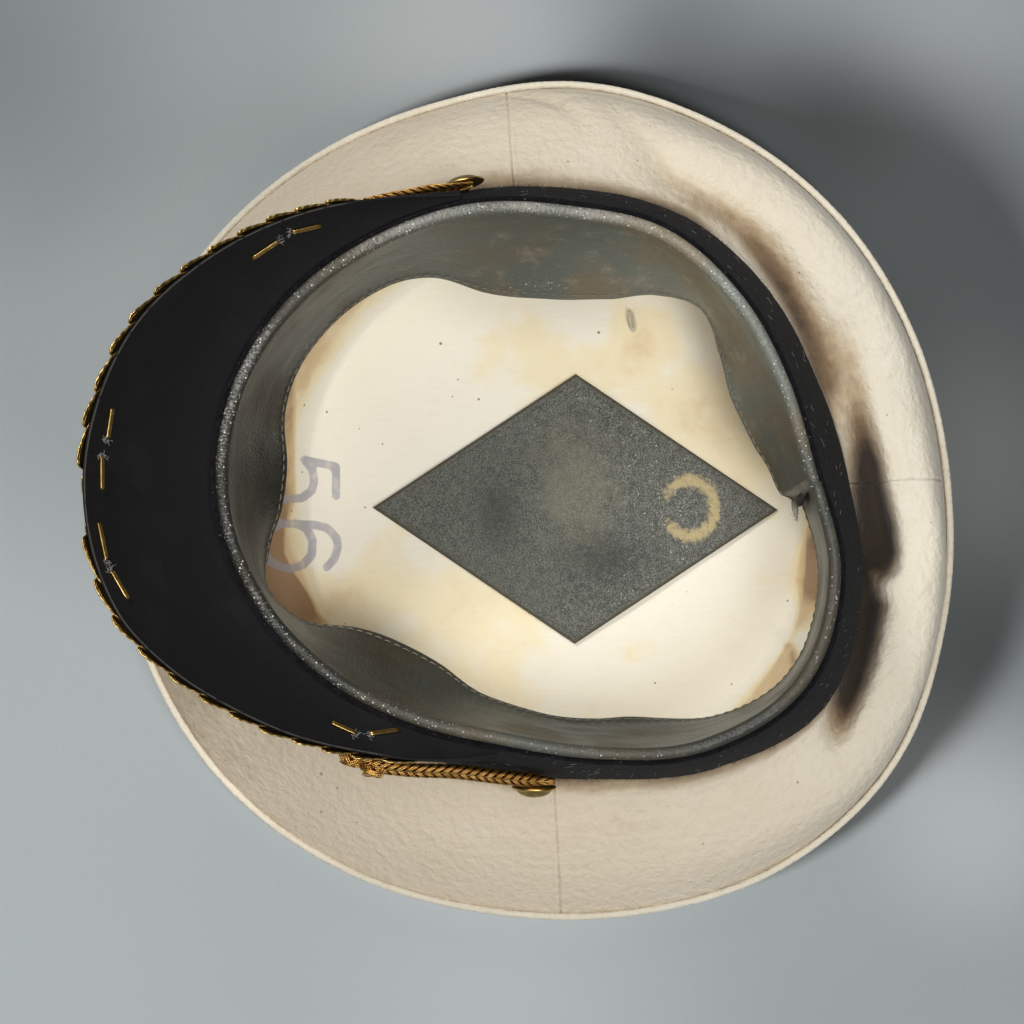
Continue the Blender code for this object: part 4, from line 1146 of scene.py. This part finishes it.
def lining_marks(points):
    """How stained and how shaded each point is, and how far it is from the number's strokes."""
    x, y = from_middle(points)
    # Painted shade up the lining's wall, growing with height.
    stain_and_shading = 0.9 * np.clip((points[:, 2] - FLOOR_HEIGHT - 2 * MM) / (12 * MM), 0, 1)
    for stain_x, stain_y, size, strength in STAINS_AND_SHADING:
        apart = np.hypot(points[:, 0] / MM - stain_x, points[:, 1] / MM - stain_y)
        stain_and_shading = stain_and_shading + strength * bell(apart, size)
    # Painted shade in the strip by the sweatband's front.
    shaded = np.clip((np.interp(x, *SHADED_EDGE.T) - y) / 1.4 + 0.5, 0, 1) * (y < 0)
    stain_and_shading = stain_and_shading + 0.85 * shaded * np.interp(x, (-60, -46, 30, 40), (0.0, 1.0, 1.3, 0.6))
    # Painted shade in the lining's fold.
    crease_shade = bell(y - np.interp(x, *FOLD.T) + 0.4, 0.8) * bell(x - 54, 10) * (y > 60)
    ink = np.min([nearest_on(x, y, stroke)[0] for stroke in NUMBER_STROKES], axis=0) * MM
    return {"stain_and_shading": stain_and_shading + 0.75 * crease_shade, "ink": ink}


def lining():
    turn = np.linspace(0, 360, 321)[:-1][:, None]
    face, radius, height = lining_face(turn)
    on_floor = np.clip(1 - (height - FLOOR_HEIGHT) / 0.010, 0, 1)
    swell = 0.7 * (lumps(face, 0.030, 12) + 0.6) + 0.25 * (lumps(face, 0.012, 13) + 0.6)
    swell = swell * np.clip(radius / 0.07, 0, 1) * MM
    face[..., 2] += np.maximum(swell, 0) * on_floor
    x, y = from_middle(face)
    past = y - np.interp(x, *FOLD.T)
    ridge = np.clip(past / 0.9, 0, 1) * np.exp(-np.maximum(past, 0) / 5)
    face[..., 2] += 2.4 * MM * ridge * bell(x - 53, 9, 4) * (radius > 0.06)
    face -= outward(turn) * ((1 - on_floor) * 0.8 * MM * lumps(face, 0.014, 14))[..., None]
    back = face.copy()
    back[..., 2] = np.where(on_floor > 0.5, FLOOR_HEIGHT - LINING_WALL, face[..., 2] - 0.2 * MM)
    back += outward(turn) * ((1 - on_floor) * LINING_WALL)[..., None]
    points, faces, _ = between_rounds(face, back)
    body, marks = (points, faces, points), lining_marks(points)
    piece("lining_cloth", [body], LINING, marks, ["lining"])


def patch_point(a, b, height):
    """A place on the diamond, from its front corner at 0, 0 along its two pairs of sides."""
    x, y = (a - b) * PATCH_WIDE / 2, (a + b - 1) * PATCH_LONG / 2
    turn = math.radians(-PATCH_TURN)
    px = x * math.cos(turn) - y * math.sin(turn) + PATCH_X + MIDDLE_X
    py = x * math.sin(turn) + y * math.cos(turn) + PATCH_Y + MIDDLE_Y
    return np.stack(np.broadcast_arrays(px, py, height), axis=-1)


def patch_top(a, b):
    """The height of the diamond's upper face before its edge and groove."""
    flat = patch_point(a, b, 0.0)
    swell = 0.35 * MM * lumps(flat, 0.028, 15) + 0.10 * MM * lumps(flat, 0.008, 16)
    return FLOOR_HEIGHT + PATCH_SEAT + PATCH_LEATHER + swell


# The worn ring on the diamond: the middle's x and y, radius and line width, in millimetres.
RING_X, RING_Y, RING_RADIUS, RING_LINE = 5.5, 50.3, 8.1, 2.4


def lining_patch():
    side = math.hypot(PATCH_LONG, PATCH_WIDE) / 2
    sine = PATCH_LONG * PATCH_WIDE / 2 / side**2
    edge = np.array((0, 0.12, 0.3, 0.6, 1.0, 1.35, 1.7, 2.2)) * MM / side
    inner = np.linspace(edge[-1] * 1.6, 1 - edge[-1] * 1.6, 64)
    line = np.concatenate([edge, inner, 1 - edge[::-1]])
    a, b = line[:, None], line[None]
    inset = np.minimum(np.minimum(a, 1 - a), np.minimum(b, 1 - b)) * side * sine
    rounding = 0.7 * MM * (1 - np.clip(inset / (0.6 * MM), 0, 1)) ** 2
    groove = 0.22 * MM * bell(inset - 1.5 * MM, 0.35 * MM)
    top = patch_point(a, b, patch_top(a, b) - rounding - groove)
    low = patch_point(a, b, FLOOR_HEIGHT + PATCH_SEAT - 0.6 * MM)
    points, faces, places = between_sheets(top, low)
    places[:, :2] = points[:, :2]
    places[:, 2] = np.concatenate([inset, inset * 0], axis=1).ravel()
    x, y = from_middle(points)
    ring = np.hypot((x - RING_X) / 1.12, y - RING_Y)
    gap = bell(x - RING_X, 5) * (y < RING_Y)
    dark = bell(np.hypot(x - 20, (y - 22) / 1.5), 9)
    marks = {
        "worn": bell(np.hypot((x + 4) / 1.5, y - 14), 16),
        "ring": bell(ring - RING_RADIUS, RING_LINE) * (1 - 0.75 * gap),
        # Painted shine, growing toward +y.
        "painted_shine": np.clip(0.52 + 0.50 * np.tanh((y - 30 + 0.4 * x) / 14) + 0.3 * (x < -18), 0, 1),
        "dark": dark + bell(np.hypot((x - 4) / 1.6, y + 12), 7),
    }
    body = points, faces, places
    piece("patch_leather", [body], PATCH, marks, ["lining_patch"])
    near = 1.5 * MM / side / sine
    corners = ((near, near), (1 - near, near), (1 - near, 1 - near), (near, 1 - near), (near, near))
    bodies = []
    for (a0, b0), (a1, b1) in zip(corners, corners[1:]):
        t = np.linspace(0, 1, 120)
        a, b = blend(a0, a1, t), blend(b0, b1, t)
        seam = patch_point(a, b, patch_top(a, b) - 0.16 * MM)
        bodies += stitches(seam, np.tile(UP, (len(t), 1)), *PATCH_STITCH)
    piece("patch_stitches", bodies, PATCH_THREAD)


# Peak, its leaf trim and tangs


def peak_reach(turn):
    return PEAK_REACH * np.maximum(0, curve_round(PEAK_STATIONS, turn))


def slope_length(turn):
    return np.maximum(peak_reach(turn), 1e-5) / math.cos(math.radians(PEAK_SLOPE))


def peak_point(turn, across, below=0.0):
    """The peak's inner face, from its root at across 0 to its edge at 1, or a face below it."""
    rise = math.tan(math.radians(PEAK_SLOPE))
    root_r, root_z = band_profile(turn, 1.0)
    length = math.hypot(1, rise)
    belly = PEAK_BELLY * 4 * across * (1 - across) * curve_round(PEAK_STATIONS, turn) + below
    reach = peak_reach(turn) * across
    radius = root_r + GAP + reach + belly * rise / length
    return place(turn, radius, root_z + reach * rise - belly / length)


def peak():
    turn = np.linspace(*PEAK_TURNS, 220)[:, None]
    across = np.concatenate([np.linspace(0, 0.97, 34), (0.98, 0.99, 0.995, 1.0)])[None]
    face = peak_point(turn, across)
    face[..., 2] += 0.25 * MM * lumps(face, 0.030, 17) * np.minimum(1, across * 4)
    length = slope_length(turn)
    inset = (1 - across) * length + 2 * MM * np.clip(1.6 - length / (9 * MM), 0, 1)
    wall = PEAK_BOARD * blend(0.25, 1.0, np.clip((1 - across[0]) / 0.25, 0, 1) ** 0.7)
    points, faces, places = wall_body(
        face[:, ::-1], turn[:, 0], wall[::-1], np.radians(turn) * 0.12
    )
    count, n = inset.shape
    back, edge = np.full((count, n + 3), 0.02), np.full((count, 3), 0.0006)
    places[:, 1] = np.concatenate([inset[:, ::-1], back, edge], axis=1).ravel()
    piece("peak_board", [(points, faces, places)], BOARD, replaces=["peak"])


EDGE_TURN = np.linspace(*TRIM_TURNS, 600)
EDGE_LENGTH = lengths_along(peak_point(EDGE_TURN, 1.0))


def trim_point(s, q, h):
    """A place under the peak: s along its edge, q inward from the edge and h out from the board."""
    turn = np.interp(s, EDGE_LENGTH, EDGE_TURN)
    return peak_point(turn, 1 - q / slope_length(turn), PEAK_BOARD + GAP + h)


def leaf(s0, q0, heading, way, dome, length=12.5 * MM, width=6.4 * MM):
    """One pressed leaf: a pointed shell, hollow toward the board, with a rib along its middle."""
    t, w = np.linspace(0, 1, 15)[:, None], np.linspace(-1, 1, 13)[None]
    half = width / 2 * np.sin(math.pi * np.clip(t, 0.015, 0.985) ** 0.85) ** 0.75
    x, y = t * length, w * half
    heading = math.radians(heading)
    s = s0 + way * (x * math.cos(heading) + y * math.sin(heading))
    q = q0 - x * math.sin(heading) + y * math.cos(heading)
    depth = (1 - w**2) * np.ones_like(t)
    bulge = dome * (1 - w**2) ** 0.8 * np.sin(math.pi * t.clip(0, 1)) ** 0.5
    veins = 0.08 * MM * np.sin((x - np.abs(y) * 0.9) * 2 * math.pi / (1.3 * MM)) * depth
    outer = trim_point(s, q, 0.35 * MM + bulge + 0.25 * MM * bell(y, 0.35 * MM) + veins)
    # Painted shade on the leaf's hollow side toward the board.
    hollow = np.concatenate([0.1 * depth, 0.95 * depth[:, ::-1] ** 0.5], axis=1)
    return between_sheets(outer, trim_point(s, q, bulge * 0.85)), hollow.ravel()


def edge_leaf(s0, length, reach, way):
    """A leaf seen from its hollow back, standing past the peak's edge, with a rim and a vein."""
    t, w = np.linspace(0, 1, 25)[:, None], np.linspace(0, 1, 11)[None]
    out = reach * np.clip(t, 0.001, 1) ** 0.75 * (1 - np.clip(t, 0, 0.999) ** 7) ** 0.5
    s = s0 + way * (t * length + 0.6 * MM * np.sin(math.pi * w) * (t - 0.5))
    q = 4.0 * MM - (4.0 * MM + out) * w
    hollow = (0.5 + 1.5 * np.clip(1 - w, 0, 1) ** 0.6 + 0.5 * np.sin(math.pi * w)) * MM
    hollow = hollow - 0.12 * MM * np.cos(t * 2 * math.pi * 5 + w * 4)
    near = trim_point(s, q, hollow - PEAK_BOARD)
    far = trim_point(s, q, hollow - PEAK_BOARD + 0.4 * MM)
    shell = between_sheets(near, far)
    shade = np.repeat([[1.0] * 11 + [0.2] * 11], 25, axis=0).ravel()
    rim = tube(near[:, -1], 0.25 * MM, 7)
    vein = tube(blend(near[:, -1], near[:, -5], 0.55)[3:-2], 0.13 * MM, 5)
    return [(shell, shade), (rim, np.zeros(len(rim[0]))), (vein, np.full(len(vein[0]), 0.3))]


def leaf_trim():
    total = EDGE_LENGTH[-1]
    middle = np.interp(0.0, EDGE_TURN, EDGE_LENGTH)
    shaded = []
    draw = np.random.default_rng(3)
    for way, start in ((1, 0.5 * MM), (-1, total - 0.5 * MM)):
        s, stop = start, middle - way * 10 * MM
        while (stop - s) * way > 6 * MM:
            length = blend(9.0, 12.0, abs(s - start) / abs(stop - start)) * MM
            length = length * draw.uniform(0.92, 1.08)
            reach = 4.2 * MM * draw.uniform(0.85, 1.12) * (0.75 if abs(s - start) < 9 * MM else 1)
            shaded += edge_leaf(s - way * 1.5 * MM, length + 2.0 * MM, reach, way)
            s += way * length
    for way, start in ((1, 1.5 * MM), (-1, total - 1.5 * MM)):
        span = middle - start if way == 1 else start - middle
        count = int((span - 10 * MM) / (9.6 * MM))
        for k in range(count + 1):
            s = start + way * k * (span - 13 * MM) / count
            shaded.append(leaf(s, 5.6 * MM, 8, way, 1.3 * MM))
            shaded.append(leaf(s, 8.6 * MM, -17, way, 1.2 * MM))
    for q, radius in ((6.3 * MM, 0.55 * MM), (12.2 * MM, 0.5 * MM)):
        s = np.linspace(0.5 * MM, total - 0.5 * MM, 260)
        stem = tube(trim_point(s, q, 0.7 * MM), radius, 6)
        shaded.append((stem, np.full(len(stem[0]), 0.25)))
    for row in TANGS:
        body = tang(*row)
        shaded.append((body, np.full(len(body[0]), 0.05)))
    bodies, painted_shades = zip(*shaded)
    marks = {"hollow": np.concatenate(painted_shades)}
    piece("gilt_leaves", bodies, GILT, marks, ["leaf_trim"])


def slit_axes(turn, across, heading):
    """A slit's place on the peak, then the ways ahead of it, beside it and out of the board."""
    near = 0.02
    along = peak_point(turn + near, across) - peak_point(turn - near, across)
    edge = peak_point(turn, across + near) - peak_point(turn, across - near)
    out = unit(np.cross(edge, along))
    along, angle = unit(along), math.radians(heading)
    ahead = along * math.cos(angle) + np.cross(out, along) * math.sin(angle)
    return peak_point(turn, across), ahead, np.cross(out, ahead), out


# The section of a tang: across and out, shares of its half width and of its thickness.
TANG_OUTLINE = np.array((
    (-1, 0.55), (-0.8, 0.95), (-0.35, 0.75), (0, 0.35), (0.35, 0.75), (0.8, 0.95), (1, 0.55),
    (1, -0.9), (-1, -0.9),
))


def tang(turn, across, heading, length):
    """A flat brass strip that comes through the board and is bent over on it."""
    spot, ahead, side, out = slit_axes(turn, across, heading)
    bend = np.radians(np.linspace(180, 90, 6))
    run = [(0.0, -2.0), (0.0, -0.6)]
    run += [(0.7 + 0.7 * math.cos(a), -0.1 + 0.7 * math.sin(a)) for a in bend]
    run += [(0.7 + k / 7 * (length - 0.7), 0.6 + 0.35 * k / 7) for k in range(1, 8)]
    path = np.array([spot + (ahead * a + out * b) * MM for a, b in run])
    curve = [ahead * math.cos(a) + out * math.sin(a) for a in bend]
    normals = np.array([-ahead] * 2 + curve + [out] * 7)
    width = np.array([0.75] * 2 + [0.9] * 6 + [1.0] * 6 + [0.93]) * 0.72 * MM
    wide = side * (TANG_OUTLINE[None, :, :1] * width[:, None, None])
    return ringed_body(path[:, None] + wide + normals[:, None] * (TANG_OUTLINE[:, 1:] * 0.28 * MM))


def slit_frays():
    """Loose grey fibres and a dark cut where each tang comes through the board."""
    draw = np.random.default_rng(7)
    bodies, cuts = [], []
    t = np.linspace(0, 1, 5)[:, None]
    for turn, across, heading, _ in TANGS:
        spot, ahead, side, out = slit_axes(turn, across, heading)
        shifts = ((-1.5, -0.2), (0.0, -0.3), (1.5, -0.2))
        path = np.array([spot + (side * a + ahead * b - out * 0.05) * MM for a, b in shifts])
        cuts.append(tube(path, (0.12 * MM, 0.42 * MM, 0.12 * MM), 6, flat=0.6))
        for _ in range(16):
            root = spot + side * draw.uniform(-1.4, 1.4) * MM
            root = root - ahead * draw.uniform(-0.1, 0.8) * MM
            way = side * draw.normal() + ahead * draw.normal(-0.5) + out * draw.uniform(0.1, 0.7)
            way = unit(way)
            bow = unit(np.cross(way, out + 0.01)) * draw.normal(0, 0.35)
            length = draw.uniform(0.7, 1.7) * MM
            strand = root + (way * t + bow * (t * (1 - t)) * 2) * length
            bodies.append(tube(strand, 0.055 * MM, 4))
    piece("slit_frays", bodies, LINT)
    piece("slit_cuts", cuts, DARK_FIBRE)


# Chin cord

# The two plies of the cord's left and right halves: how far each is from the cord's middle, in
# widths, then its strands' reach and their wires' radius in millimetres.
LEFT_PLIES = ((0.27, 1.12, 0.24), (0.27, 1.12, 0.24))
RIGHT_PLIES = ((0.21, 1.38, 0.24), (0.33, 0.94, 0.22))
PLY_LEAD, WIRE_PAIR = 8.4 * MM, 0.33


def cord_centre(turn):
    out = CORD_WIDTH * curve_round(CORD_ROUTE, turn, 1)
    height = mouth_height(turn) - CORD_WIDTH * curve_round(CORD_ROUTE, turn, 2)
    return place(turn, band_face_radius(turn, height) + out, height)


def cord_axes(turn):
    """The cord leans out over the left side of the peak and in over the right side."""
    share = np.interp(turn, (-62, -30, 30, 62), (-0.6, -1, 1, 0.8))
    lean = np.radians(90 + (90 - CORD_LEAN) * share)[:, None]
    wide = outward(turn) * np.cos(lean) + UP * np.sin(lean)
    return wide, UP * np.cos(lean) - outward(turn) * np.sin(lean)


def twisted(centre, wide, thick, taper, reach, radius, way):
    """Three pairs of wires laid round a dark core, painted shade between them, as in a twisted cord.
    """
    length = lengths_along(centre)
    spots = np.linspace(0, length[-1], max(8, int(length[-1] / PLY_LEAD * 13)))
    mid, w, t = (points_at(spots, length, values) for values in (centre, wide, thick))
    taper = np.interp(spots, length, taper)
    bodies = []
    for k in range(3):
        for shift in (-WIRE_PAIR, WIRE_PAIR):
            angle = way * spots / PLY_LEAD * 2 * math.pi + k * 2 * math.pi / 3 + shift
            spoke = w * np.cos(angle)[:, None] + t * np.sin(angle)[:, None]
            bodies.append(tube(mid + spoke * (reach * taper)[:, None], radius * taper, 7))
    return bodies + [shading_core(mid, reach * 0.85 * taper, 8)]


# A dark body among wires or loops, painted shade between them.
def shading_core(path, radius, sides, flat=1.0):
    core = tube(path, radius, sides, flat=flat)
    core[2][:, 2] = 1.0
    return core


def chin_cord():
    bodies = []
    halves = (CORD_ROUTE[0, 0], 0, 1, LEFT_PLIES), (0, CORD_ROUTE[-1, 0], -1, RIGHT_PLIES)
    for start, stop, outer, plies in halves:
        turn = np.linspace(start, stop, 260)
        centre = cord_centre(turn)
        wide, thick = cord_axes(turn)
        taper = np.interp(turn, (-82, -74, 85, 90), (0.35, 1.0, 1.0, 0.45))
        for (middle, reach, radius), side in zip(plies, (-1, 1)):
            line = centre + wide * (middle * side * outer * CORD_WIDTH * taper)[:, None]
            bodies += twisted(line, wide, thick, taper, reach * MM, radius * MM, -side)
    piece("twisted_chin_cord", bodies, WIRE, replaces=["chin_cord"])


def knot(side, clusters, seed):
    """Loops of paired wire gathered round the chin cord, in clusters at the given turns."""
    draw = np.random.default_rng(seed)
    bodies = []
    t = np.linspace(0, 1, 30)[:, None]
    for turn, out in clusters:
        centre = cord_centre(np.array([turn]))[0] + outward(turn) * out * MM
        core = centre + forward(turn) * np.linspace(-1.8, 1.8, 7)[:, None] * MM
        size = 1.9 * MM * np.sin(np.linspace(0.5, math.pi - 0.5, 7))
        # A dark body in the knot, painted shade between its loops.
        bodies.append(shading_core(core, size, 10, 0.8))
        for k in range(11):
            angle = draw.uniform(0, 2 * math.pi) + t * draw.uniform(3.4, 5.6)
            long, short = draw.uniform(2.5, 3.9) * MM, draw.uniform(1.1, 2.4) * MM
            lean = draw.uniform(0, math.pi)
            for wire in (-0.34 * MM, 0.34 * MM):
                x, y = np.cos(angle) * (long + wire), np.sin(angle) * (short + wire)
                ahead = x * math.cos(lean) - y * math.sin(lean) + draw.normal(0, 0.02) * MM
                across = x * math.sin(lean) + y * math.cos(lean)
                bow = 1.6 - (np.hypot(ahead, across) / (2.6 * MM)) ** 2 * 1.3 + (k % 4) * 0.35
                path = centre + forward(turn) * ahead + outward(turn) * across + UP * bow * MM
                bodies.append(tube(path, 0.25 * MM, 7))
    piece(f"cord_knot_{side}", bodies, WIRE, replaces=[f"cord_slide_{side}"])


# The button's profile: radius, and how high it rises, both shares of the button's own.
BUTTON_RINGS = (
    (0.22, -0.66), (0.22, 0.02), (0.88, 0.06), (0.97, 0.13), (1.00, 0.22), (0.985, 0.32),
    (0.94, 0.38), (0.89, 0.37), (0.86, 0.32), (0.84, 0.34), (0.80, 0.46), (0.70, 0.64),
    (0.55, 0.80), (0.36, 0.91), (0.16, 0.97), (0.04, 0.985),
)


def button(side):
    turn, stand, rise_by = BUTTONS[side]
    height = mouth_height(turn) - BUTTON_DROP
    side_way = forward(turn)
    out = unit(outward(turn) - np.array((0, 0, 0.08)))
    base = place(turn, band_face_radius(turn, height), height) + out * stand
    angle = np.arange(60) * 2 * math.pi / 60
    spoke = side_way * np.cos(angle)[:, None] + np.cross(side_way, out) * np.sin(angle)[:, None]
    rings = []
    for radius, rise in BUTTON_RINGS:
        rope = 0.03 * np.sin(angle * 30) * (0.86 < radius) * (0.1 < rise)
        wide = spoke * (BUTTON_RADIUS * (radius + rope * 0.4))[:, None]
        rings.append(base + wide + out * rise_by * (rise + rope)[:, None])
    # Painted dark reflection over the dome and back; only the rope rim stays bright.
    hollow = [0.0 if r > 0.9 and z > 0.1 else 0.55 for r, z in BUTTON_RINGS]
    marks = {"hollow": np.repeat(hollow, len(angle))}
    body = ringed_body(np.array(rings))
    piece(f"gilt_button_{side}", [body], GILT, marks, [f"side_button_{side}"])


# Small threads and lint


def thread_loop():
    x, y = -0.0565 + MIDDLE_X, 0.0353 + MIDDLE_Y
    angle = np.linspace(0, 2 * math.pi, 40)
    height = FLOOR_HEIGHT + 2.6 * MM + 1.2 * MM * np.sin(angle / 2)
    across = 0.75 * MM * np.sin(angle) + 0.3 * MM * np.cos(angle)
    path = np.stack([x + 3.1 * MM * np.cos(angle), y + across, height], axis=-1)
    piece("thread_loop", [tube(path, 0.38 * MM, 8)], WHITE_THREAD)


def band_fibres(name, turn, up, out, ways, lengths, finish, radius, seed):
    """Short bent fibres on the band's outer face."""
    draw = np.random.default_rng(seed)
    face_radius, height = band_profile(turn, up)
    spots = place(turn, face_radius + out, height)
    t = np.linspace(0, 1, 6)[:, None]
    bodies = []
    for spot, way, length in zip(spots, unit(ways), lengths):
        bow = np.cross(way, draw.normal(size=3)) * (t * (1 - t)) * draw.normal(0, 0.35)
        bodies.append(tube(spot + (way * (t - 0.5) + bow) * length, radius, 4))
    piece(name, bodies, finish)


def band_lint():
    draw = np.random.default_rng(11)
    count = 150
    turn, up = draw.uniform(60, 320, count), draw.uniform(0.05, 0.98, count)
    ways = forward(turn) * draw.normal(size=(count, 1)) + UP * draw.normal(size=(count, 1))
    ways = ways + outward(turn) * 0.15
    lengths = draw.uniform(0.8, 3.2, count) * MM
    band_fibres("band_lint", turn, up, 0.25 * MM, ways, lengths, LINT, 0.035 * MM, 12)


def band_nap():
    """Short black fibres that stand off the band's crown edge and face."""
    draw = np.random.default_rng(13)
    count = 1300
    turn, up = draw.uniform(0, 360, count), draw.uniform(0, 1, count) ** 2.2
    ways = outward(turn) + forward(turn) * draw.normal(0, 0.6, (count, 1))
    ways = ways - UP * draw.uniform(-0.3, 0.8, (count, 1))
    lengths = draw.uniform(0.5, 1.3, count) * MM
    band_fibres("band_nap", turn, up, 0.2 * MM, ways, lengths, DARK_FIBRE, 0.04 * MM, 14)


# Floor and lights

FLOOR_HALF, LIGHT_DISTANCE, WORLD_STRENGTH = 2.5, 1.8, 0.01
LIGHT_COLOURS = {"cap": (1.0, 0.985, 0.955), "floor": (0.97, 1.0, 1.0)}

# The lights: what each falls on, azimuth and elevation in degrees, size in metres and power in
# watts. Azimuth is in the photograph: 0 at its right, growing toward its top. The cap and the floor
# have lights of their own.
LIGHTS = (
    ("cap", 122, 46, 0.35, 15.5), ("cap", 300, 50, 0.35, 4.0), ("cap", 310, 70, 0.50, 11.0),
    ("cap", 240, 48, 0.40, 3.5), ("cap", 0, 89, 1.0, 12.6), ("floor", 206, 40, 0.40, 25.0),
    ("floor", 315, 58, 0.60, 5.7),
)


def add_floor():
    mesh = bpy.data.meshes.new("floor")
    signs = ((-1, -1, 0), (1, -1, 0), (1, 1, 0), (-1, 1, 0))
    mesh.from_pydata([[FLOOR_HALF * s for s in corner] for corner in signs], [], [(0, 1, 2, 3)])
    mesh.materials.append(pale_floor())
    floor = add_object("floor", mesh)
    return floor


def add_light(name, azimuth, elevation, size, power, colour, receivers):
    """A square soft light that falls on its receivers alone."""
    a, e = math.radians(azimuth), math.radians(elevation)
    level = PHOTO_RIGHT * math.cos(a) + PHOTO_TOP * math.sin(a)
    way = level * math.cos(e) + Vector((0, 0, math.sin(e)))
    data = bpy.data.lights.new(name, "AREA")
    data.size, data.energy, data.color = size, power, colour
    light = add_object(name, data)
    light.location = way * LIGHT_DISTANCE
    light.rotation_euler = way.to_track_quat("Z", "Y").to_euler()
    light.light_linking.receiver_collection = receivers


def add_lights(floor):
    receivers = {name: bpy.data.collections.new(f"lit_{name}") for name in LIGHT_COLOURS}
    for group in receivers.values():
        group.objects.link(floor)
    receivers["cap"].collection_objects[0].light_linking.link_state = "EXCLUDE"
    for k, (lit, *light) in enumerate(LIGHTS):
        add_light(f"{lit}_light_{k + 1}", *light, LIGHT_COLOURS[lit], receivers[lit])
    world = bpy.data.worlds.new("studio")
    world.use_nodes = True
    background = world.node_tree.nodes["Background"]
    background.inputs["Color"].default_value = (0.90, 0.95, 1.0, 1.0)
    background.inputs["Strength"].default_value = WORLD_STRENGTH
    bpy.context.scene.world = world
    bpy.context.scene.view_settings.view_transform = "Standard"


add_lights(add_floor())
sides = ("front_right", "rear_right", "rear_left", "front_left")
for side, start, stop in zip(sides, SEAM_TURNS, SEAM_TURNS[1:]):
    quarter(side, start, stop)
piping()
crown_face()
wool_band()
sweatband()
lining()
lining_patch()
peak()
leaf_trim()
slit_frays()
chin_cord()
knot("left", ((-56.5, 0.3), (-51.5, 0.3)), 5)
knot("right", ((51.9, 0.5), (56.0, 0.3)), 8)
for side in BUTTONS:
    button(side)
thread_loop()
band_lint()
band_nap()
